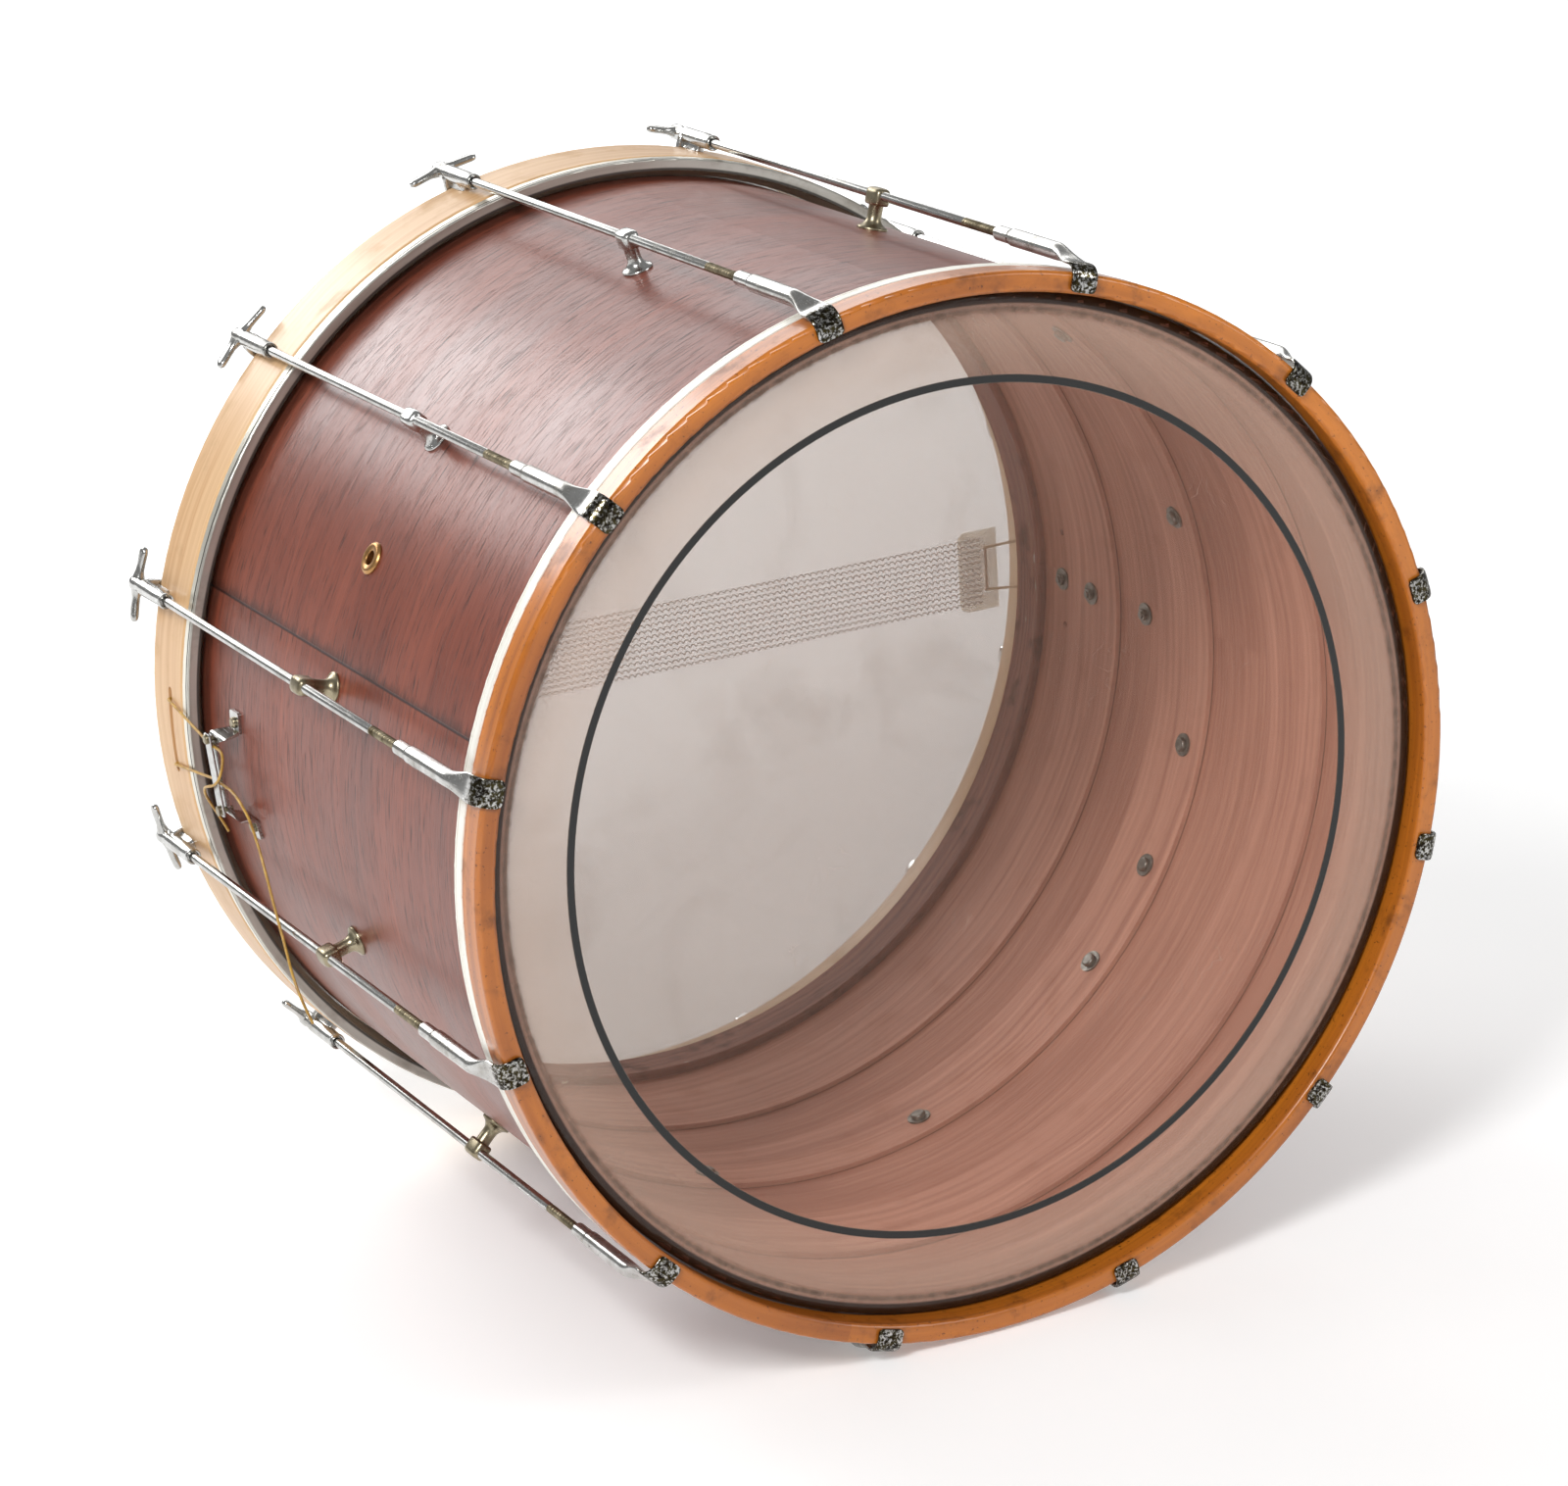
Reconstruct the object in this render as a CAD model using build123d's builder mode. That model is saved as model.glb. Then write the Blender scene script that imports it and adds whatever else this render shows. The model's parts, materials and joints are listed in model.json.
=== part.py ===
"""Two-headed wooden bass drum with twelve T-handle tension rods and gut-hung snares.

The drum lies on its side: its axis runs along Y, the front (clear) head faces -Y
and the rear (snare) head faces +Y. The origin is on the floor, under the middle of
the drum's overall box. All lengths are in millimetres.

"Along" is the distance behind the front hoop's front face. "Angle" turns about the
drum's axis, from +X (0) through +Z (90).
"""

import os
from math import cos, degrees, pi, radians, sin, sqrt, tan

from build123d import *

os.makedirs("parts", exist_ok=True)

# ---------------------------------------------------------------- shell and rings
shell_diameter = 609.6
shell_wall = 6.5
shell_length = 448.5
bearing_edge_round = 5.0
bearing_edge_flat = 1.5
middle_ring_wall = 3.2
middle_ring_width = 61.0
middle_ring_along = (95.0, 224.0, 337.0)
glue_ring_wall = 5.7
front_glue_ring_width = 38.0
rear_glue_ring_width = 30.0
# ------------------------------------------------------------------ heads and hoops
hoop_gap = 1.0  # shell to hoop, across the film
hoop_wall = 12.2
front_hoop_width = 21.3
rear_hoop_width = 49.5
hoop_round = 2.6
front_head_recess = 14.0  # front hoop's face to the film
rear_head_recess = 33.2  # rear hoop's face to the film
film = 0.5
film_shell_gap = 0.1
flesh_hoop_width = 10.0
flesh_hoop_wall = 7.4
flesh_hoop_groove = 1.0
flesh_hoop_inset = 0.5
hoop_seat = 0.05  # flesh hoop to hoop
shell_seat = 0.05  # fittings to the shell
gate_width = 5.4  # slot for the snare cords through the rear hoop
gate_length = 56.0
# -------------------------------------------------------------------- tension rods
rod_count = 12
first_rod_angle = 75.0
rod_pitch_angle = 360.0 / rod_count
rod_diameter = 5.7
rod_standoff = 7.7  # hoop's outer face to the rod's axis
rod_run_clearance = 0.09  # rod in its sleeves and posts, on the radius
rest_clearance = 0.3  # between pieces of different bodies that lie together
thread_exposed = 37.0
# front claws
claw_strap = 2.4
claw_strap_width = 16.5
claw_tip_round = 3.0
claw_bend = 4.2
tube_diameter = 10.4
tube_front_along = 36.0
tube_rear_along = 81.0
collar_diameter = 8.4
collar_length = 17.0
rod_end_along = 46.0
tube_bore_end_along = 38.0
flatten_end_along = 20.0
# rear claws
sleeve_diameter = 10.4
sleeve_ring_diameter = 10.4
sleeve_neck_diameter = 9.2
sleeve_ring_length = 3.0
sleeve_front_setback = 34.7  # from the rear hoop's rear face forward
hook_plate = 5.0
hook_width = 13.0
web_width = 8.0
web_length = 24.0
hook_depth_margin = 1.5  # hook stops short of the hoop's inner edge
# T-handles
handle_gap = 0.3
hub_diameter = 9.0
hub_length = 19.0
wing_reach = 24.0
wing_width = 9.5
wing_plate = 3.4
wing_sweep = 3.0
# posts
post_along = 243.0
post_flange_diameter = 19.0
post_flange = 1.6
post_waist_diameter = 9.0
post_cone_height = 4.5
post_head_width = 11.0
post_head_length = 16.5
post_head_overhang = 4.4  # rod's axis to the head's outer face
post_head_inner = 6.2  # rod's axis to the head's inner face
post_head_round = 4.0
post_head_edge = 2.6
post_screw_diameter = 4.6
post_screw_bite = 6.0
post_screw_head_diameter = 9.4
post_screw_head = 2.8
post_washer_diameter = 15.0
post_washer = 1.2
washer_gap = 0.15  # flat washer to the curved wall behind it
screw_hole_clearance = 0.2
# ----------------------------------------------------------------------- vent
vent_angle = 150.0
vent_along = 240.0
vent_flange_diameter = 20.0
vent_flange = 2.0
vent_tube_diameter = 13.0
vent_bore_diameter = 8.6
vent_inner_lip = 1.2
vent_lip_diameter = 15.4
vent_hole_clearance = 0.1
# --------------------------------------------------------------------- snares
snare_drop = 6.0  # centre of the snares under the drum's axis
strand_count = 12
strand_diameter = 2.6
strand_spacing = 4.0
strand_overlap = 14.0  # how far a strand runs onto its end plate
plate_inner_reach = 250.0
plate_outer_reach = 279.5
plate_height = 56.0
plate = 1.2
plate_corner = 6.0
snare_lift = 0.1  # strands to the film
plate_seat = 0.05  # plate to the strands
cord_diameter = 1.8
cord_hole_reach = 270.0
cord_hole_half_spacing = 14.6
cord_hole_diameter = 3.4
cord_lift = 0.1  # cord to what it lies on
hoop_lift = 0.7
gate_bend = 3.0
# ---------------------------------------------------- butt clamp (held cord ends)
butt_angle = 181.8
butt_along = 394.0
butt_skew = 0.16  # the clamp leans: how far it moves forward per length round the drum
jaw_length = 52.0
jaw_width = 9.5
jaw_standoff = 11.9  # shell to the fixed jaw's outer face
fixed_jaw = 2.0
moving_jaw = 1.6
jaw_slack = 0.05  # cord to each jaw
foot_centre = 32.5  # from the clamp's middle, round the drum
foot_length = 14.0
foot_width = 14.0
foot_setback = 13.0  # feet in front of the jaws
foot_screw_diameter = 3.6
foot_screw_head_diameter = 7.0
foot_screw_head = 2.2
foot_hole_depth = 6.3
clamp_screw_diameter = 3.4
clamp_screw_head_diameter = 6.4
clamp_screw_head = 1.9
clamp_screw_tail = 2.6
clamp_screw_inset = 3.6
held_short = -18.0  # where each cord end is held, round the drum from the clamp's middle
held_long = 5.0
# ------------------------------------------------------- strainer (tensioned end)
strainer_angle = -1.0
strainer_screw_along = (305.0, 368.0, 410.0)
strainer_screw_diameter = 4.2
strainer_screw_head_diameter = 7.4
strainer_screw_tail = 1.2
nut_across_flats = 7.0
nut_height = 2.6
base_front_along = 297.0
base_rear_along = 421.0
base_width = 24.0
base_metal = 3.0
rail_height = 4.0
rail_metal = 2.4
rail_front_along = 356.0
slide_front_along = 377.0
slide_length = 38.0
slide_travel = 5.0
slide_clearance = 0.3
knob_diameter = 12.0
knob_length = 11.0
knob_floor_gap = 0.6
knob_flute_diameter = 2.0
knob_flutes = 12
spindle_diameter = 4.0
spindle_end_along = 392.0
spindle_pitch = 1.0
bearing_front_along = 339.0
bearing_length = 7.0
bearing_width = 14.0
bearing_wall = 3.0
clamp_plate = 1.6
clamp_plate_length = 16.0
plate_screw_diameter = 3.0
plate_screw_head_diameter = 5.6
plate_screw_bite = 4.0
plain_hole_diameter = 4.5
plain_hole_along = 407.0
plain_hole_angles = (-7.0, 5.4)
spare_washer_angle = -31.0

# ------------------------------------------------------------ what follows from them
shell_radius = shell_diameter / 2
shell_inner = shell_radius - shell_wall
middle_ring_inner = shell_inner - middle_ring_wall
glue_ring_inner = shell_inner - glue_ring_wall
shell_front = front_head_recess + film + film_shell_gap
shell_rear = shell_front + shell_length
rear_film_face = shell_rear + film_shell_gap + film
drum_depth = rear_film_face + rear_head_recess  # rear hoop's rear face
rear_hoop_front = drum_depth - rear_hoop_width
hoop_inner = shell_radius + hoop_gap
hoop_outer = hoop_inner + hoop_wall
film_inner = shell_radius + film_shell_gap
film_turn = bearing_edge_round + film_shell_gap
front_flesh_along = front_hoop_width + hoop_seat
rear_flesh_along = rear_hoop_front - hoop_seat - flesh_hoop_width
flesh_outer = hoop_outer - flesh_hoop_inset
flesh_inner = flesh_outer - flesh_hoop_wall
rod_circle = hoop_outer + rod_standoff
rod_radius = rod_diameter / 2
run_radius = rod_radius + rod_run_clearance
rod_angles = [first_rod_angle + i * rod_pitch_angle for i in range(rod_count)]
sleeve_front = drum_depth - sleeve_front_setback
hook_face = drum_depth + rest_clearance
hook_rear = hook_face + hook_plate
handle_front = hook_rear + handle_gap
rod_rear = handle_front + hub_length
strap_face = -rest_clearance  # strap's rear face, in front of the hoop
box_front = strap_face - claw_strap
middle_along = (box_front + rod_rear) / 2
floor_angle = radians(270 - rod_angles[6])
axis_height = rod_circle * cos(floor_angle) + sleeve_diameter / 2
fitting_bottom = shell_radius + shell_seat
snare_along = rear_film_face + snare_lift + strand_diameter / 2
plate_along = snare_along + strand_diameter / 2 + plate_seat
cord_radius = cord_diameter / 2
cord_outside = plate_along + plate + cord_lift + cord_radius  # cord behind the end plates
cord_circle = hoop_outer + cord_radius + hoop_lift  # cord over the rear hoop
gate_along = cord_outside - gate_width / 2 + cord_radius + 2 * cord_lift
jaw_face = shell_radius + jaw_standoff
jaw_gap = cord_diameter + 2 * jaw_slack
held_radius = jaw_face + jaw_gap / 2
moving_jaw_face = jaw_face + jaw_gap
base_top = shell_radius + base_metal
spindle_circle = base_top + knob_floor_gap + knob_diameter / 2
slide_top = hoop_outer - 0.6
slide_width = base_width - 2 * rail_metal - 2 * slide_clearance
strainer_held = slide_top + jaw_gap / 2

drum_axis = Axis((0, 0, axis_height), (0, 1, 0))
section_plane = Plane(origin=(0, 0, axis_height), x_dir=(0, 1, 0), z_dir=(1, 0, 0))


def along(distance):
    """World Y of a distance behind the front hoop's front face."""
    return distance - middle_along


def station(angle, distance=0.0, radius=0.0):
    """Plane on the drum: x runs to the rear, y round the drum, z straight outwards."""
    outward = Vector(cos(radians(angle)), 0, sin(radians(angle)))
    origin = Vector(0, along(distance), axis_height) + outward * radius
    return Plane(origin=origin, x_dir=(0, 1, 0), z_dir=outward)


def across(angle, distance):
    """Plane square to the drum: x straight outwards at an angle, y round the drum."""
    here = station(angle, distance)
    return Plane(origin=here.origin, x_dir=here.z_dir, z_dir=(0, -1, 0))


def write(part, name):
    """Labels a finished piece and writes its STEP file."""
    part.label = name
    export_step(part, f"parts/{name}.step")


def ring_sketch(inner, outer, start, end):
    """Rectangle in the section plane that turns into a plain ring."""
    with BuildSketch(section_plane) as section:
        with Locations(((along(start) + along(end)) / 2, (inner + outer) / 2)):
            Rectangle(end - start, outer - inner)
    return section.sketch


# ================================================================== shell and rings
screw_stations = [station(angle, post_along, shell_radius) for angle in rod_angles]
strainer_stations = [
    station(strainer_angle, distance, shell_radius) for distance in strainer_screw_along
]
spare_station = station(spare_washer_angle, post_along, shell_radius)
plain_hole_stations = [
    station(angle, plain_hole_along, shell_radius) for angle in plain_hole_angles
]
foot_stations = [
    station(
        butt_angle + degrees(side * foot_centre / shell_radius),
        butt_along - foot_setback - butt_skew * side * foot_centre,
        shell_radius,
    )
    for side in (-1, 1)
]
vent_station = station(vent_angle, vent_along, shell_radius)
wall_depth = shell_radius - glue_ring_inner + 4
screw_hole = post_screw_diameter / 2 + screw_hole_clearance


def radial_holes(stations, radius, depth=wall_depth):
    """Drills the shell's wall straight inwards at each station."""
    with BuildSketch(*stations) as holes:
        Circle(radius)
    extrude(holes.sketch, amount=-depth, mode=Mode.SUBTRACT)
    extrude(holes.sketch, amount=1, mode=Mode.SUBTRACT)


with BuildPart() as shell:
    with BuildSketch(section_plane) as shell_section:
        front, rear = along(shell_front), along(shell_rear)
        with BuildLine():
            Polyline(
                (front, shell_inner),
                (front, shell_radius),
                (rear, shell_radius),
                (rear, shell_inner),
                close=True,
            )
        make_face()
        outer_corners = shell_section.vertices().group_by(Axis.Y)[-1]
        fillet(outer_corners, bearing_edge_round)
    revolve(axis=drum_axis)
    radial_holes(screw_stations + strainer_stations + [spare_station], screw_hole)
    radial_holes(plain_hole_stations, plain_hole_diameter / 2)
    radial_holes([vent_station], vent_tube_diameter / 2 + vent_hole_clearance)
    radial_holes(foot_stations, foot_screw_diameter / 2 + screw_hole_clearance, foot_hole_depth)
write(shell.part, "shell")

for number, start in enumerate(middle_ring_along, 1):
    with BuildPart() as middle_ring:
        add(ring_sketch(middle_ring_inner, shell_inner, start, start + middle_ring_width))
        revolve(axis=drum_axis)
        holes = [
            plane
            for plane, distance in (
                [(plane, post_along) for plane in screw_stations + [spare_station]]
                + list(zip(strainer_stations, strainer_screw_along))
            )
            if start < distance < start + middle_ring_width
        ]
        if holes:
            radial_holes(holes, screw_hole)
        if start < vent_along < start + middle_ring_width:
            radial_holes([vent_station], vent_tube_diameter / 2 + vent_hole_clearance)
    write(middle_ring.part, f"middle_ring_{number}")

with BuildPart() as front_glue_ring:
    add(ring_sketch(glue_ring_inner, shell_inner, shell_front, shell_front + front_glue_ring_width))
    revolve(axis=drum_axis)
    inner_edges = front_glue_ring.edges().filter_by(GeomType.CIRCLE).sort_by(SortBy.RADIUS)[:2]
    chamfer(inner_edges, bearing_edge_flat)
write(front_glue_ring.part, "front_glue_ring")

with BuildPart() as rear_glue_ring:
    add(ring_sketch(glue_ring_inner, shell_inner, shell_rear - rear_glue_ring_width, shell_rear))
    revolve(axis=drum_axis)
    inner_edges = rear_glue_ring.edges().filter_by(GeomType.CIRCLE).sort_by(SortBy.RADIUS)[:2]
    chamfer(inner_edges, bearing_edge_flat)
write(rear_glue_ring.part, "rear_glue_ring")


# ============================================================================ hoops
def wooden_hoop(start, width):
    """Steam-bent hoop with softened edges."""
    with BuildPart() as hoop:
        with BuildSketch(section_plane) as section:
            with Locations((along(start) + width / 2, (hoop_inner + hoop_outer) / 2)):
                Rectangle(width, hoop_wall)
            fillet(section.vertices(), hoop_round)
        revolve(axis=drum_axis)
    return hoop.part


write(wooden_hoop(0, front_hoop_width), "front_hoop")

with BuildPart() as rear_hoop:
    add(wooden_hoop(rear_hoop_front, rear_hoop_width))
    with BuildSketch(station(0, gate_along, hoop_inner - 4), station(180, gate_along, hoop_inner - 4)):
        SlotOverall(gate_length, gate_width, rotation=90)
    extrude(amount=hoop_wall + 8, mode=Mode.SUBTRACT)
write(rear_hoop.part, "rear_hoop")


# ============================================================================ heads
def head_film(face, inward, flare_start, skirt_end):
    """Film over a bearing edge: flat disc, turn, skirt and flare into the flesh hoop.

    face is the film's inner face, inward is +1 if the drum's inside is towards +Y.
    """
    turn_start = film_inner - film_turn

    def layer(outside):
        """Key points of the film's inner (0) or outer (film) surface."""
        flat = face - inward * outside
        corner = (face + inward * film_turn, turn_start)
        turn = film_turn + outside
        mid = turn * sqrt(0.5)
        return [
            (along(flat), 0),
            (along(flat), turn_start),
            (along(corner[0] - inward * mid), corner[1] + mid),
            (along(corner[0]), film_inner + outside),
            (along(flare_start), film_inner + outside),
            (along(skirt_end), flesh_inner - hoop_seat - film + outside),
        ]

    inner, outer = layer(0), layer(film)
    with BuildPart() as head:
        with BuildSketch(section_plane):
            with BuildLine():
                for points in (inner, outer):
                    Line(points[0], points[1])
                    ThreePointArc(points[1], points[2], points[3])
                    Polyline(points[3], points[4], points[5])
                Line(inner[0], outer[0])
                Line(inner[5], outer[5])
            make_face()
        revolve(axis=drum_axis)
    return head.part


def flesh_hoop(start, groove_side):
    """Aluminium channel ring with a pressed groove round its outer face."""
    with BuildPart() as ring:
        add(ring_sketch(flesh_inner, flesh_outer, start, start + flesh_hoop_width))
        revolve(axis=drum_axis)
        outer_edges = ring.edges().filter_by(GeomType.CIRCLE).sort_by(SortBy.RADIUS)[-2:]
        fillet(outer_edges, flesh_hoop_groove)
        groove_start = start + flesh_hoop_width / 2 + groove_side * flesh_hoop_width * 0.22
        section = ring_sketch(
            flesh_outer - flesh_hoop_groove * 0.6,
            flesh_outer + 1,
            groove_start - flesh_hoop_groove / 2,
            groove_start + flesh_hoop_groove / 2,
        )
        revolve(section, axis=drum_axis, mode=Mode.SUBTRACT)
    return ring.part


front_skirt_end = front_flesh_along + flesh_hoop_width * 0.8
rear_skirt_end = rear_flesh_along + flesh_hoop_width * 0.2
rear_flare = rear_flesh_along + flesh_hoop_width
front_film = head_film(shell_front - film_shell_gap, 1, front_flesh_along, front_skirt_end)
rear_film = head_film(shell_rear + film_shell_gap, -1, rear_flare, rear_skirt_end)
write(front_film, "front_head_film")
write(rear_film, "rear_head_film")
write(flesh_hoop(front_flesh_along, 1), "front_flesh_hoop")
write(flesh_hoop(rear_flesh_along, -1), "rear_flesh_hoop")


# ===================================================================== tension rods
# One rod, one front claw, one rear claw and one post are made with the drum's axis
# as their X axis and straight outwards as their Z axis, then placed at every angle.
def placed(piece, angle):
    """A copy of a piece made about the drum's axis, turned to its angle."""
    return station(angle).location * piece


side_view = Plane.XZ


def rod_section(distance):
    """Plane square to a rod, with its centre on the rod's axis."""
    return Plane(origin=(distance, 0, rod_circle), x_dir=(0, 1, 0), z_dir=(1, 0, 0))


def make_rod(wing_turn):
    """Tension rod with its cast T-handle, the wings turned about the rod from square-on."""
    with BuildPart() as rod:
        with BuildSketch(rod_section(rod_end_along)):
            Circle(rod_radius)
        extrude(amount=handle_front + 2 - rod_end_along)
        front_rim = rod.edges().filter_by(GeomType.CIRCLE).sort_by(Axis.X)[0]
        chamfer(front_rim, 0.6)
        with BuildSketch(rod_section(handle_front)):
            Circle(hub_diameter / 2)
        extrude(amount=hub_length)
        rear_rim = rod.edges().filter_by(GeomType.CIRCLE).sort_by(Axis.X)[-1]
        fillet(rear_rim, hub_diameter * 0.22)
        wing_plane = Plane(origin=(handle_front + hub_length * 0.6, 0, rod_circle))
        wing_plane = wing_plane.rotated((wing_turn, 0, 0))
        with BuildSketch(wing_plane.offset(-wing_plate / 2)):
            for side in (-1, 1):
                with BuildLine():
                    root, tip = wing_width * 0.58, wing_width * 0.4
                    reach, lean = wing_reach - tip, -wing_sweep
                    Polyline((-root, 0), (lean - tip, side * reach))
                    ThreePointArc(
                        (lean - tip, side * reach),
                        (lean, side * wing_reach),
                        (lean + tip, side * reach),
                    )
                    Polyline((lean + tip, side * reach), (root, 0), (-root, 0))
                make_face()
        extrude(amount=wing_plate)
    return rod.part


def cut_to_shell(middle, length):
    """Cuts the foot of a piece, made about the drum's axis, to the shell's outside."""
    with Locations((middle, 0, 0)):
        Cylinder(fitting_bottom, length, rotation=(0, 90, 0), mode=Mode.SUBTRACT)


with BuildPart() as front_claw:
    tube_length = tube_rear_along - tube_front_along
    with BuildSketch(rod_section(tube_front_along)):
        Circle(tube_diameter / 2)
    extrude(amount=tube_length)
    chamfer(front_claw.faces().sort_by(Axis.X)[-1].edges(), 0.7)
    with BuildSketch(rod_section(tube_rear_along)):
        Circle(collar_diameter / 2)
    extrude(amount=collar_length)
    strap_bottom = hoop_outer + rest_clearance
    strap_middle = strap_bottom + claw_strap / 2
    with BuildSketch(rod_section(flatten_end_along)):
        with Locations((0, strap_middle - rod_circle)):
            RectangleRounded(claw_strap_width, claw_strap, claw_strap * 0.42)
    with BuildSketch(rod_section(tube_front_along)):
        Circle(tube_diameter / 2)
    loft()
    with BuildSketch(side_view) as strap_side:
        tip_radius = hoop_inner + hook_depth_margin
        front, back = strap_face - claw_strap, strap_face
        top = strap_bottom + claw_strap
        with BuildLine():
            Polyline(
                (flatten_end_along, top),
                (front, top),
                (front, tip_radius),
                (back, tip_radius),
                (back, strap_bottom),
                (flatten_end_along, strap_bottom),
                close=True,
            )
        make_face()
        fillet(strap_side.vertices().sort_by_distance((front, top))[0], claw_bend)
        fillet(strap_side.vertices().sort_by_distance((back, strap_bottom))[0], claw_bend - claw_strap)
    extrude(amount=claw_strap_width / 2, both=True)
    tip_edges = front_claw.edges().filter_by(Axis.X).group_by(Axis.Z)[0]
    fillet(tip_edges, claw_tip_round)
    with BuildSketch(rod_section(tube_bore_end_along)):
        Circle(run_radius)
    extrude(amount=tube_rear_along + collar_length - tube_bore_end_along, mode=Mode.SUBTRACT)

with BuildPart() as rear_claw:
    with BuildSketch(rod_section(sleeve_front)):
        Circle(sleeve_neck_diameter / 2)
    with BuildSketch(rod_section(hook_face - 4)):
        Circle(sleeve_diameter / 2)
    loft()
    with BuildSketch(rod_section(hook_face - 4)):
        Circle(sleeve_diameter / 2)
    extrude(amount=hook_plate + 4)
    with BuildSketch(rod_section(sleeve_front)):
        Circle(sleeve_ring_diameter / 2)
    extrude(amount=sleeve_ring_length)
    web_bottom = hoop_outer + 0.2
    with BuildSketch(Plane.XY.offset(web_bottom)):
        with Locations((hook_rear - web_length / 2, 0)):
            RectangleRounded(web_length, web_width, web_width * 0.45)
    extrude(amount=rod_circle - web_bottom)
    hook_tip = hoop_inner + hook_depth_margin
    with BuildSketch(rod_section(hook_face)):
        with Locations((0, (hook_tip - rod_circle) / 2 + 1)):
            RectangleRounded(hook_width, rod_circle - hook_tip + 2, hook_width * 0.3)
    extrude(amount=hook_plate)
    with BuildSketch(rod_section(sleeve_front - 1)):
        Circle(run_radius)
    extrude(amount=hook_rear - sleeve_front + 2, mode=Mode.SUBTRACT)

with BuildPart() as post:
    head_bottom = rod_circle - post_head_inner
    flange_top = shell_radius + post_flange
    post_root = shell_radius - 0.6
    with BuildSketch(side_view):
        waist = post_waist_diameter / 2
        rim = post_flange_diameter / 2
        with BuildLine():
            Polyline(
                (post_along + waist, flange_top + post_cone_height),
                (post_along + waist, head_bottom + 1),
                (post_along, head_bottom + 1),
                (post_along, post_root),
                (post_along + rim, post_root),
                (post_along + rim, flange_top - 0.5),
            )
            Spline(
                (post_along + rim, flange_top - 0.5),
                (post_along + waist, flange_top + post_cone_height),
                tangents=((-1, 0.12), (0, 1)),
            )
        make_face()
    revolve(axis=Axis((post_along, 0, 0), (0, 0, 1)))
    with BuildSketch(Plane.XY.offset(head_bottom)):
        with Locations((post_along, 0)):
            RectangleRounded(post_head_length, post_head_width, post_head_round)
    extrude(amount=post_head_inner + post_head_overhang)
    fillet(post.faces().sort_by(Axis.Z)[-1].edges(), post_head_edge)
    with BuildSketch(rod_section(post_along - post_head_length)):
        Circle(run_radius)
    extrude(amount=2 * post_head_length, mode=Mode.SUBTRACT)
    with BuildSketch(Plane.XY.offset(post_root - 1)):
        with Locations((post_along, 0)):
            Circle(post_screw_diameter / 2 + screw_hole_clearance / 2)
    extrude(amount=post_screw_bite + 1, mode=Mode.SUBTRACT)
    cut_to_shell(post_along, post_flange_diameter + 2)



def inner_seat(distance):
    """Radius of the wood inside the shell at a distance along the drum."""
    reinforced = any(start < distance < start + middle_ring_width for start in middle_ring_along)
    return middle_ring_inner if reinforced else shell_inner


def washer(distance):
    """Flat washer against the inside of the shell, made about the drum's axis."""
    with BuildPart() as ring:
        with BuildSketch(Plane.XY.offset(inner_seat(distance) - washer_gap)):
            with Locations((distance, 0)):
                Circle(post_washer_diameter / 2)
                Circle(screw_hole, mode=Mode.SUBTRACT)
        extrude(amount=-post_washer)
    return ring.part


def inner_screw(distance, tip):
    """Round-headed screw put in from inside the shell, made about the drum's axis."""
    head_top = inner_seat(distance) - washer_gap - post_washer - shell_seat
    with BuildPart() as screw:
        with BuildSketch(Plane.XY.offset(head_top)):
            with Locations((distance, 0)):
                Circle(post_screw_head_diameter / 2)
        extrude(amount=-post_screw_head)
        fillet(screw.faces().sort_by(Axis.Z)[0].edges(), post_screw_head * 0.5)
        with BuildSketch(Plane.XY.offset(head_top)):
            with Locations((distance, 0)):
                Circle(post_screw_diameter / 2)
        extrude(amount=tip - head_top)
    return screw.part


handle_turn = {7: -rod_pitch_angle / 2, 8: rod_pitch_angle / 2}
for number, angle in enumerate(rod_angles, 1):
    write(placed(make_rod(handle_turn.get(number, 0)), angle), f"tension_rod_{number:02d}")
    write(placed(front_claw.part, angle), f"front_claw_{number:02d}")
write(Compound([placed(rear_claw.part, angle) for angle in rod_angles]), "rear_claws")
write(Compound([placed(post.part, angle) for angle in rod_angles]), "rod_posts")

post_screw = inner_screw(post_along, post_root + post_screw_bite - 0.3)
spare_screw = inner_screw(post_along, shell_radius - 0.5)
screws = [placed(post_screw, angle) for angle in rod_angles]
write(Compound(screws + [placed(spare_screw, spare_washer_angle)]), "post_screws")
washers = [placed(washer(post_along), angle) for angle in rod_angles + [spare_washer_angle]]
washers += [placed(washer(distance), strainer_angle) for distance in strainer_screw_along]
write(Compound(washers), "shell_washers")

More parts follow.
